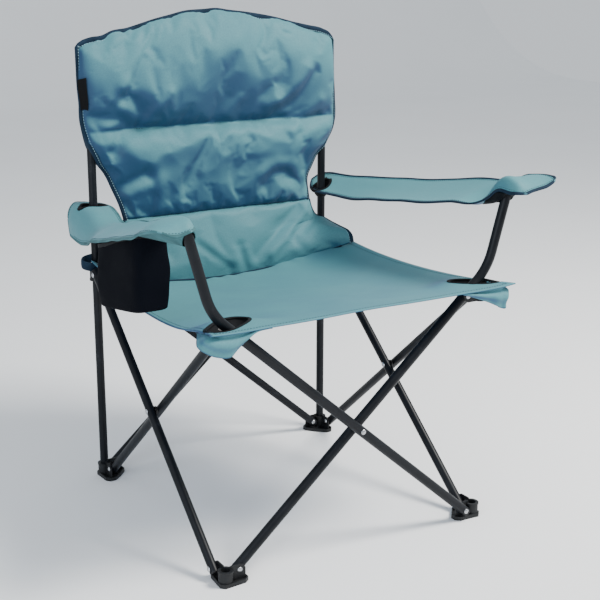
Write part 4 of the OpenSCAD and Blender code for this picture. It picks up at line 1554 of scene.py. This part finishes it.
@dataclass
class SeatSheet:
    """Sagging seat cloth, its arm tube slots, corner pockets and rear corner loops."""

    wardrobe: Wardrobe
    columns: int = 131
    rows: int = 121
    front_y: float = -338.0
    slot_z: float = 514.5        # height of the level cloth round the slots
    thickness: float = 2.6
    patch: Patch | None = None

    def surface(self) -> Array:
        """Grid of the sheet, rows from the front to the rear.

        Width and the heights of the middle and of both edges are curves along the seat; across
        it the height goes from the middle's to the edge's with the 2.4th power of the share.
        Radial ripples run out of the corners, short gathers from the rear seam; round each arm
        tube's slot the cloth lies level, fading with the fourth power of the distance.
        """
        u, v = np.meshgrid(np.linspace(-1, 1, self.columns), np.linspace(0, 1, self.rows))
        half, middle, right, left = (through([0, 0.04, 0.12, 0.3, 0.5, 0.7, 0.88, 1], row, v)
                                     for row in ([350, 343, 336, 328, 322, 317, 315, 317],
                                                 [513, 510, 503, 487, 470, 457, 450, 452],
                                                 [521, 519, 513, 504, 501, 506, 517, 522],
                                                 [519, 515, 505, 483, 475, 480, 507, 522]))
        rear = 281 + 7 * ease((np.abs(u) - 0.72) / 0.28)
        front = self.front_y + 5 * np.cos(math.pi * u) - 5 + 3 * ripple(u, u * 0, 8, 0.6, 5)
        y = front + (rear - front) * v
        x = u * half
        z = middle + (np.where(u < 0, left, right) - middle) * np.abs(u) ** 2.4
        for cx, cy, waves in ((-330, -330, 9), (330, -330, 9), (-303, 285, 7), (303, 285, 7)):
            r, turn = np.hypot(x - cx, y - cy), np.arctan2(y - cy, x - cx)
            z += 1.4 * np.exp(-r / 120.0) * np.cos(waves * turn + cx) * ease((r - 40.0) / 90.0)
        z += ripple(x, y, 21, 190.0) * 1.1 * (1 - np.abs(u) ** 4) * np.minimum(v * 6, 1)
        gather = bell(1 - v, 0.075) * np.sin(x / 9.5 + 2 * np.sin(x / 31.0))
        z += gather * 1.6 * (1 - np.abs(u) ** 6)
        for slot in SEAT_SLOTS.values():
            cx, cy = slot.middle
            near = np.exp(-np.hypot((x - cx) / 84.0, (y - cy) / 66.0) ** 4)
            z += (self.slot_z - z) * near * (1 - np.abs(u) ** 12)
        return np.stack([x, y, z], -1)

    def carry(self, obj: Piece) -> Piece:
        """Hangs a piece of the seat between the four corners, bagged when the chair is closed."""
        return hang(obj, Carrier.REAR_LEFT, (
            (Carrier.REAR_RIGHT, share_x), (Carrier.FOOT, share_y), (Carrier.SLIDER, seat_lift)))

    def build(self) -> None:
        """Builds the sheet and what is sewn to it."""
        p = self.surface()
        flat, cells = p.reshape(-1, 3), grid_quads(*p.shape[:2])
        keep = np.ones(cells.shape[:2], bool)
        rims = {side: slot.cut(flat, cells, keep) for side, slot in SEAT_SLOTS.items()}
        self.patch = Patch(p)
        sheet = cloth_shell("seat_sheet", self.patch, self.thickness, keep)
        self.wardrobe.dress(sheet, "seat_cloth")
        # paints shade into the seat cloth from a fixed light direction
        fold_shade(sheet, (0.25, -0.5, 0.83), 0.45, 0.85)
        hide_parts("seat")
        self.carry(sheet)
        for side, rim in rims.items():
            ring = even(rim + [0, 0, 0.4], 4.0, closed=True)
            up = np.broadcast_to([0.0, 0, 1], ring.shape)
            for piece in SEAT_SLOTS[side].trim(self.wardrobe, "slot", side, ring, up, 3.8,
                                               ARM_TUBES[side], 500.0):
                self.carry(piece)
        for side in Side:
            self.corner_pocket(side)
        for side in Side:
            self.corner_loop(side)
        self.hems()
        log.info("seat sheet: %d cells kept", int(keep.sum()))

    def hems(self) -> None:
        """Sews stitch rows along the front, side and rear hems."""
        t = np.linspace(0.02, 0.98, 150)
        for name, u, v in (("front", t, 0.02), ("left", 0.016, t), ("right", 0.984, t),
                           ("rear", t, 0.988)):
            line, n = self.patch.read(*np.broadcast_arrays(u, v))
            n = n * np.sign(n[:, 2:3])
            hem = sewn(f"seat_hem_{name}", line + n * self.thickness / 2, n, pitch=6.5)
            self.carry(self.wardrobe.dress(hem, "thread_dark"))

    def corner_pocket(self, side: Side) -> None:
        """Builds the pocket that hangs round a front bracket.

        It runs straight from a line just inside the sheet's rim down to its own lower edge,
        which is a curve from the front hem round the corner to the side hem; two bell curves
        draw it in under the hem and let it belly out half way down.
        """
        g = self.patch.points if side is Side.LEFT else self.patch.points[:, ::-1]
        front, flank = g[0, int(self.columns * 0.19)::-1], g[1:int(self.rows * 0.11), 0]
        rim = even(np.concatenate([front, flank]), 2.4)
        t = np.linspace(0, 1, len(rim))
        low = through(*POCKET_RIMS[side], t)
        inward = unit((np.array([side.value * 268.0, -270.0, 0]) - rim) * [1, 1, 0])
        w = np.linspace(0, 1, 15)[:, None, None]
        inset = ((7.0 + 17.0 * ease((t - 0.5) / 0.2)) * np.sin(math.pi * t) ** 0.4)[:, None]
        top = rim + inward * inset - [0, 0, 2.2]
        belly = ((8.0 * bell(w - 0.45, 0.28) - 6.0 * bell(w - 0.12, 0.14))
                 * (w * (1 - w) * 4) ** 0.5 * np.sin(math.pi * t)[None, :, None] ** 0.6)
        p = top[None] * (1 - w) + low[None] * w - inward[None] * belly
        p[..., 1] -= (np.sin(t * 34 + 1) * 1.6)[None] * w[..., 0] * np.sin(math.pi * t)[None]
        if side is Side.RIGHT:
            p = p[:, ::-1]
        piece = cloth_shell(f"corner_pocket_{side.tag}", Patch(p), 2.2)
        self.wardrobe.dress(piece, "seat_cloth")
        # paints shade into the pocket's cloth from a fixed light direction
        fold_shade(piece, (0.25, -0.7, 0.6), -0.1, 0.70)
        self.carry(piece)

    def corner_loop(self, side: Side) -> None:
        """Builds the cloth loop of a rear seat corner round its post: an upright band carried
        round a ring that runs further out on the outer side and falls towards the front."""
        a = full_turn(56)
        reach = 14.5 + 20.0 * np.maximum(0, np.cos(a)) ** 2
        path = np.stack([side.value * (HUB + np.cos(a) * reach),
                         HUB + np.sin(a) * reach * 0.9 - 3.0, 515.0 + 8.0 * np.sin(a)], -1)
        up = np.broadcast_to([0.0, 0, 1], path.shape)
        out = unit(np.cross(tangents(path, closed=True), up))
        band = carried(path, out, up, oval(3.0, 20.0, 12), closed=True)
        # the loop of seat cloth gets the dark navy finish: painted shade
        piece = self.wardrobe.dress(make_mesh(f"corner_loop_{side.tag}", *band), "navy_tape_and_loop_shade")
        rides = Carrier.SLIDER if side is Side.LEFT else Carrier.SLIDER_RIGHT
        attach(piece, rides.value)


# ---------------------------------------------------------------- arms
@dataclass(frozen=True)
class PostPocket:
    """Sizes of the pocket that an arm post stands in."""

    middle_y: float              # of its upper rim
    rearward: float              # reach of that rim to the rear
    forward: float               # its reach to the front
    half_width: float            # its half width
    rear_z: float                # height of the lower rim at its rear
    front_z: float               # and at its front
    finish: str
    slot: str


@dataclass
class ArmRest:
    """Armrest cloth from its loop round the rear post to its pocket on the arm post.

    Sections across the arm are five places (outward distance, height) from the inner to the
    outer edge, at growing distance from the rear.
    """

    wardrobe: Wardrobe
    side: Side
    rides: Carrier
    front: Carrier
    front_y: float
    edging: str
    slot: Slot
    pocket: PostPocket
    stations: tuple[float, ...]
    sections: tuple[tuple[tuple[float, float], ...], ...]
    columns: int = 45
    rows: int = 191
    thickness: float = 3.4
    patch: Patch | None = None

    def surface(self) -> Array:
        """Grid of the arm: sections joined along the arm by smooth curves, and each read
        through its five places by a smooth curve; small ripples cross the free edges."""
        knots = -np.asarray(self.stations)
        t = np.linspace(knots[0], knots[-1], self.rows)
        places = through(knots, np.asarray(self.sections), t)
        s = np.linspace(0, 1, self.columns)
        across = through([0, 0.25, 0.5, 0.75, 1], places.transpose(1, 0, 2), s).transpose(1, 0, 2)
        y = np.broadcast_to(-t[:, None], across.shape[:2])
        outer = np.abs(2 * s - 1)[None] ** 2
        free = ease((t - knots[0]) / 60.0)[:, None] * ease((knots[-1] - t) / 90.0)[:, None]
        wave = ripple(t[:, None] + 0 * s, s[None] * 60.0, 31 + self.side.value, 95.0, 7)
        z = across[..., 1] + wave * (0.7 + 0.9 * outer) * free
        return np.stack([self.side.value * across[..., 0], y, z], -1)

    def carry(self, obj: Piece) -> Piece:
        """Hangs a piece of the arm between its rear post and its arm post."""
        def share(p: Array) -> Array:
            return np.clip((ARM_REAR - p[:, 1]) / (ARM_REAR - self.front_y), 0, 1)

        return hang(obj, self.rides, ((self.front, share),))

    def build(self) -> None:
        """Builds the sheet, its tapes, stitches and post pocket."""
        p, tag = self.surface(), self.side.tag
        flat, cells = p.reshape(-1, 3), grid_quads(*p.shape[:2])
        keep = np.ones(cells.shape[:2], bool)
        rim = self.slot.cut(flat, cells, keep)
        self.patch = Patch(p)
        sheet = cloth_shell(f"arm_sheet_{tag}", self.patch, self.thickness, keep)
        self.wardrobe.dress(sheet, "seat_cloth")
        # paints shade into the arm's cloth from a fixed light direction
        fold_shade(sheet, (self.side.value * 0.3, -0.55, 0.78), -0.65, 0.12)
        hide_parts(f"arm_{tag}")
        self.carry(sheet)
        ring, inward, normal = self.edge_ring()
        tape = bound_edge(f"arm_tape_{tag}", ring, inward, normal, EDGE_TAPE,
                          self.thickness + 1.2, closed=True)
        self.carry(self.wardrobe.dress(tape, self.edging))
        seam = ring + inward * 8.0 + normal * self.thickness / 2
        stitches = sewn(f"arm_stitches_{tag}", seam, normal, closed=True)
        self.carry(self.wardrobe.dress(stitches, "thread_dark"))
        loop = even(rim, 3.0, closed=True)
        up = sheet_normals(p).reshape(-1, 3)[::3][nearest(loop, flat[::3])]
        low_z = float(loop[:, 2].min()) - 16.0
        for piece in (*self.slot.trim(self.wardrobe, "arm_slot", self.side, loop, up, 4.8,
                                      f"post_{tag}", low_z), self.post_pocket()):
            self.carry(piece)
        log.info("arm %s: %d cells kept", tag, int(keep.sum()))

    def edge_ring(self) -> tuple[Array, Array, Array]:
        """Edge of the sheet as a ring, with its inward and normal directions."""
        def walk(a: Array, k: int) -> Array:
            low, high = a[k, 2:-2], a[-1 - k, -3:1:-1]
            return np.concatenate([low, a[2:-2, -1 - k], high, a[-3:1:-1, k]])

        g, n = self.patch.points, sheet_normals(self.patch.points)
        ring, normal = walk(g, 0), walk(n, 0)
        normal = normal * np.sign(normal[:, 2:3] + 1e-9)
        return ring, square_to(walk(g, 2) - ring, normal), normal

    def post_pocket(self) -> Piece:
        """Builds the reinforced pocket that the arm post stands in.

        A wide oval under the sheet runs down to a slanted ring round the leaning tube,
        spreading and closing with powers of the way; its walls have an even thickness.
        """
        pocket, node = self.pocket, ARM_TUBES[self.side]
        a = full_turn(48)
        c, n = np.cos(a), np.sin(a)
        reach = np.where(n > 0, pocket.rearward, pocket.forward)
        top = np.stack([self.side.value * (POCKET_X + pocket.half_width * c),
                        pocket.middle_y + reach * n, 0 * a], -1)
        grid = self.patch.points.reshape(-1, 3)
        top[:, 2] = grid[nearest(top[:, :2], grid[:, :2]), 2] - 3.2
        ahead = (0.5 - 0.5 * n)[:, None]
        x, y, half_x, half_y = (tube_at(node, pocket.rear_z) * (1 - ahead)
                                + tube_at(node, pocket.front_z) * ahead).T
        low = np.stack([x + (half_x + POST_FIT) * c * self.side.value,
                        y + (half_y + POST_FIT) * n + 8.0 * np.maximum(0, n) ** 2,
                        pocket.rear_z + (pocket.front_z - pocket.rear_z) * ahead[:, 0]
                        - 2.0 * c], -1)
        t = np.linspace(0, 1, 13)[:, None, None]
        stay = (1 - t) ** 1.35
        p = top[None] * stay + low[None] * (1 - stay)
        p[..., 2] = top[:, 2] * (1 - t[..., 0]) + low[:, 2] * t[..., 0]
        piece = tube_wall(f"post_pocket_{self.side.tag}", p, 2.0)
        self.wardrobe.dress(piece, pocket.finish)
        return piece


def right_arm(wardrobe: Wardrobe) -> ArmRest:
    """The right arm, which lies tilted towards the sitter."""
    return ArmRest(
        wardrobe, Side.RIGHT, Carrier.REAR_RIGHT, Carrier.FRONT_A, -290.0, "navy_tape_and_loop_shade",
        Slot((303.0, 301.0), (22.0, 20.0)),
        PostPocket(-289.2, 88.0, 44.0, 43.0, 674.0, 690.0, "black_tape_and_slot_shade", "pouch_fabric"),
        (351, 325, 290, 250, 190, 90, -30, -150, -236, -254, -272, -322, -340, -349),
        (((304, 641), (310, 645), (318, 649), (326, 653), (332, 656)),
        ((285, 628), (298, 634), (312, 641), (326, 650), (339, 659)),
        ((280, 623), (297, 630), (313, 639), (329, 650), (346, 661)),
        ((290, 619), (309, 627), (327, 637), (345, 648), (364, 660)),
        ((302, 620), (323, 628), (344, 638), (365, 650), (387, 662)),
        ((311, 629), (338, 635), (366, 644), (393, 656), (419, 669)),
        ((321, 643), (352, 648), (382, 657), (411, 669), (440, 683)),
        ((335, 660), (366, 665), (396, 673), (425, 685), (453, 699)),
        ((346, 671), (370, 678), (398, 688), (428, 702), (456, 714)),
        ((352, 682), (368, 704), (397, 712), (428, 714), (457, 721)),
        ((355, 698), (367, 722), (396, 723), (428, 722), (458, 724)),
        ((358, 700), (368, 722), (396, 721), (428, 723), (458, 728)),
        ((362, 702), (376, 709), (398, 712), (427, 717), (454, 727)),
        ((370, 702), (384, 706), (402, 709), (425, 713), (446, 723))))


def left_arm(wardrobe: Wardrobe) -> ArmRest:
    """The left arm, whose outer side hangs down with the pouch."""
    return ArmRest(
        wardrobe, Side.LEFT, Carrier.REAR_LEFT, Carrier.FRONT_B, -312.0, "teal_tape_and_pocket_shade",
        Slot((-303.0, 301.0), (31.0, 15.0)),
        # the left post pocket's finish is a darker teal than the seat cloth: painted shade under
        # the arm
        PostPocket(-312.8, 165.0, 28.0, 36.0, 671.0, 704.0, "teal_tape_and_pocket_shade", "seat_fabric"),
        (351, 325, 290, 250, 190, 90, -30, -150, -235, -284, -300, -328, -341, -349),
        (((290, 641), (308, 644), (329, 643), (342, 620), (340, 572)),
        ((272, 641), (298, 644), (330, 645), (346, 616), (345, 572)),
        ((264, 639), (292, 643), (327, 643), (347, 610), (349, 571)),
        ((266, 631), (294, 636), (326, 636), (348, 606), (354, 572)),
        ((276, 619), (302, 624), (332, 621), (352, 603), (364, 584)),
        ((290, 640), (317, 641), (346, 635), (372, 624), (394, 610)),
        ((302, 665), (330, 663), (358, 658), (386, 649), (411, 637)),
        ((316, 689), (346, 688), (376, 684), (407, 676), (434, 664)),
        ((335, 701), (363, 704), (391, 704), (420, 698), (447, 685)),
        ((352, 704), (366, 722), (396, 723), (426, 716), (453, 700)),
        ((358, 708), (369, 724), (396, 724), (426, 717), (453, 704)),
        ((366, 708), (377, 720), (398, 718), (426, 714), (452, 712)),
        ((374, 709), (386, 710), (402, 707), (424, 708), (447, 715)),
        ((382, 710), (392, 707), (406, 703), (421, 705), (440, 715))))


# ---------------------------------------------------------------- pouch and tag
@dataclass
class Pouch:
    """Boxy cloth pouch under the left arm, open at the top and sewn up to the arm's cloth."""

    wardrobe: Wardrobe
    arm: ArmRest
    x: tuple[float, float] = (335.0, 407.0)      # inner and outer wall, to the left
    y: tuple[float, float] = (-168.0, 36.0)      # front and rear wall
    low_z: tuple[float, float] = (520.0, 488.0)  # bottom at the front and at the rear
    map_z: float = 640.0                         # height where the cloth map starts
    columns: int = 72
    rows: int = 40

    def surface(self) -> Array:
        """Grid of the outside, rows from the mouth to the bottom seam.

        Every row is a rounded rectangle, the place where |cos|^0.34 and |sin|^0.34 of the turn
        scale the half sizes, drawn in by a quarter round at the bottom. The mouth lies under
        the arm, lower towards the front and the inside; the bottom falls evenly to the rear,
        and the walls bulge and crease.
        """
        a, t = full_turn(self.columns)[None], np.linspace(0, 1, self.rows)[:, None]
        wall, corner = 0.86, 9.0  # share of the rows above the bottom's round, and its height
        fall = np.clip(t / wall, 0, 1)
        close = np.clip((t - wall) / 0.14, 0, 1)
        shrink = np.sqrt(np.maximum(0.0, 1 - (close * 0.97) ** 2.4))
        cx, hx = sum(self.x) / 2, (self.x[1] - self.x[0]) / 2
        cy, hy = sum(self.y) / 2, (self.y[1] - self.y[0]) / 2
        box_x, box_y = (np.sign(k) * np.abs(k) ** 0.34 for k in (np.cos(a), np.sin(a)))
        bulge = np.sin(math.pi * fall ** 1.4) * 4.0
        crease = ripple(a * 60 + 0 * t, t * 120 + 0 * a, 44, 60.0) * 1.3 * np.sin(math.pi * t)
        x = cx + box_x * (hx + bulge + crease) * shrink
        y = cy + box_y * (hy + bulge + crease - 2.0 * fall) * (0.25 + 0.75 * shrink)
        grid = self.arm.patch.points.reshape(-1, 3)
        near = nearest(np.stack([-x[0], y[0]], -1), grid[:, :2])
        ahead, inside = (self.y[1] - y[0]) / (2 * hy), (self.x[1] - x[0]) / (2 * hx)
        top = grid[near, 2] - 6.0 - ahead * (2.0 + 28.0 * inside)
        share = (y - self.y[0]) / (self.y[1] - self.y[0])
        low = self.low_z[0] + (self.low_z[1] - self.low_z[0]) * share
        z = (top[None] + (low + corner - top[None]) * fall
             - corner * np.sin(close * math.pi / 2))
        return np.stack([-x, y, z], -1)

    def build(self) -> None:
        """Builds the pouch and its mouth tape."""
        p = self.surface()
        out = unit((p - p.mean(1, keepdims=True)) * [1, 1, 0] + 1e-9)
        rows, cols = p.shape[:2]
        count, thickness = rows * cols, 1.6
        quads = grid_quads(rows, cols, ring=True).reshape(-1, 4)
        rim = rim_edges(quads)
        wall = rim_wall(rim[(rim < cols).all(1)], count)
        k, low = np.arange(cols // 2 - 1), count - cols
        base = np.stack([low + k, low + k + 1, low + cols - 2 - k, low + cols - 1 - k], -1)
        inner = p - out * thickness
        inner[-4:, :, 2] += thickness
        faces = np.concatenate([quads, base[:, ::-1], quads[:, ::-1] + count, base + count, wall])
        points = np.concatenate([p.reshape(-1, 3), inner.reshape(-1, 3)])
        uv = np.stack(np.broadcast_arrays(run_along(p[0])[None], self.map_z - p[:, :1, 2]), -1)
        bag = make_mesh("pouch_bag", points, faces, np.tile(uv.reshape(-1, 2) * MM, (2, 1)))
        self.wardrobe.dress(bag, "pouch_cloth")
        # paints shade into the pouch's cloth from a fixed light direction
        fold_shade(bag, (0.1, -0.6, 0.5), -0.4, 0.9)
        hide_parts("pouch")
        self.arm.carry(bag)
        ring = p[0] + [0, 0, 0.2]
        down = np.broadcast_to([0.0, 0, -1], ring.shape)
        tape = bound_edge("pouch_mouth_tape", ring, down, out[0], 6.0, 4.0, closed=True)
        self.arm.carry(self.wardrobe.dress(tape, "black_tape_and_slot_shade"))
        log.info("pouch: %d points", len(points))


@dataclass
class SideTag:
    """Bare woven tag sewn into the left edge of the back."""

    wardrobe: Wardrobe
    back: BackPad
    z: tuple[float, float] = (858.0, 925.0)
    u: tuple[float, float] = (0.002, 0.023)
    rows: int = 30
    columns: int = 10

    def build(self) -> None:
        """Builds the tag as a strip that lies on the pad, a little proud of it."""
        heights = self.back.front.points[:, 2, 2]
        v = np.interp(np.linspace(*self.z, self.rows), heights, np.linspace(0, 1, len(heights)))
        u, v = np.meshgrid(np.linspace(*self.u, self.columns), v)
        line, n = self.back.front.read(u.ravel(), v.ravel())
        p = (line + forwards(n) * 3.2).reshape(self.rows, self.columns, 3)
        tag = cloth_shell("side_tag", Patch(p), 1.0)
        self.wardrobe.dress(tag, "tag_cloth")
        # paints shade into the tag from the LIT_SIDE light direction
        fold_shade(tag, LIT_SIDE, -0.5, 0.9)
        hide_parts("label")
        self.back.carry(tag)


# ---------------------------------------------------------------- studio
@dataclass
class Studio:
    """Pale floor, soft lights and the camera."""

    eye: tuple[float, float, float] = (-1235.722, -2067.097, 1110.711)
    yaw: float = -28.859
    pitch: float = -14.254
    roll: float = -0.638
    lens: float = 69.085
    shift: tuple[float, float] = (0.1, -0.0333)
    floor_reach: float = 9000.0  # of the floor, to each side and to the front
    sweep_y: float = 8000.0      # where it starts to rise behind
    sweep_radius: float = 2500.0

    def camera(self) -> None:
        """Makes the camera from its place, yaw, pitch and roll."""
        yaw, pitch, roll = (math.radians(a) for a in (self.yaw, self.pitch, self.roll))
        ahead = Vector((-math.sin(yaw) * math.cos(pitch), math.cos(yaw) * math.cos(pitch),
                        math.sin(pitch)))
        right = Vector((math.cos(yaw), math.sin(yaw), 0))
        up = right.cross(ahead)
        side = right * math.cos(roll) + up * math.sin(roll)
        top = up * math.cos(roll) - right * math.sin(roll)
        data = bpy.data.cameras.new("camera")
        data.lens, data.sensor_width = self.lens, 36.0
        data.shift_x, data.shift_y = self.shift
        data.clip_start, data.clip_end = 0.05, 50.0
        camera = bpy.data.objects.new("camera", data)
        bpy.context.scene.collection.objects.link(camera)
        camera.matrix_world = Matrix.Translation(Vector(self.eye) * MM) @ Matrix(
            (side, top, -ahead)).transposed().to_4x4()
        bpy.context.scene.camera = camera

    def light(self, name: str, place: Sequence[float], size: float, power: float,
              colour: Colour) -> None:
        """Makes a square area light that looks at the chair's middle.

        Args:
            name: object name.
            place: position in metres.
            size: edge length in metres.
            power: watts.
            colour: light colour.
        """
        data = bpy.data.lights.new(name, "AREA")
        data.shape, data.size, data.energy, data.color = "SQUARE", size, power, colour
        lamp = bpy.data.objects.new(name, data)
        bpy.context.scene.collection.objects.link(lamp)
        lamp.location = place
        aim = Vector((0, 0, 0.55)) - Vector(place)
        lamp.rotation_euler = aim.to_track_quat("-Z", "Y").to_euler()

    def floor(self, effects: Effects) -> None:
        """Makes the floor, which runs up behind in a quarter round and then straight.

        Args:
            effects: the shared node groups.
        """
        reach, start, radius = self.floor_reach, self.sweep_y, self.sweep_radius
        x, run = np.meshgrid(np.linspace(-reach, reach, 19), np.linspace(-reach, 14000, 93))
        turn = np.clip((run - start) / radius, 0, math.pi / 2)
        rest = np.maximum(run - start - radius * math.pi / 2, 0)
        points = np.stack([x, np.minimum(run, start) + radius * np.sin(turn),
                           radius * (1 - np.cos(turn)) + rest], -1)
        floor = make_mesh("studio_floor", points.reshape(-1, 3),
                          grid_quads(*x.shape).reshape(-1, 4))
        floor.data.materials.append(FloorPaint("floor_paint").material(effects))

    def build(self, effects: Effects) -> None:
        """Makes camera, world, lights and floor.

        Args:
            effects: the shared node groups.
        """
        self.camera()
        world = bpy.data.worlds.new("studio")
        world.use_nodes = True
        back = world.node_tree.nodes["Background"]
        back.inputs["Color"].default_value = (0.88, 0.94, 1.0, 1)
        back.inputs["Strength"].default_value = 0.82
        bpy.context.scene.world = world
        self.light("key", (1.9, -1.5, 3.3), 1.2, 230.0, (1.0, 0.975, 0.93))
        self.light("front_fill", (-3.0, -1.6, 1.5), 2.2, 62.0, (0.80, 0.89, 1.0))
        self.floor(effects)


def main() -> None:
    """Builds the chair's looks in order and reports each piece."""
    logging.basicConfig(level=logging.INFO, format="%(name)s: %(message)s")
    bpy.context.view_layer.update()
    effects = Effects()
    wardrobe = Wardrobe(effects).build()
    Studio().build(effects)
    log.info("frame: %d nodes dressed", Skeleton(wardrobe).dress())
    back = BackPad(wardrobe)
    back.build()
    LumbarPad(wardrobe).build()
    SeatSheet(wardrobe).build()
    right_arm(wardrobe).build()
    left = left_arm(wardrobe)
    left.build()
    Pouch(wardrobe, left).build()
    SideTag(wardrobe, back).build()
    bpy.context.view_layer.update()


if __name__ == "__main__":
    main()
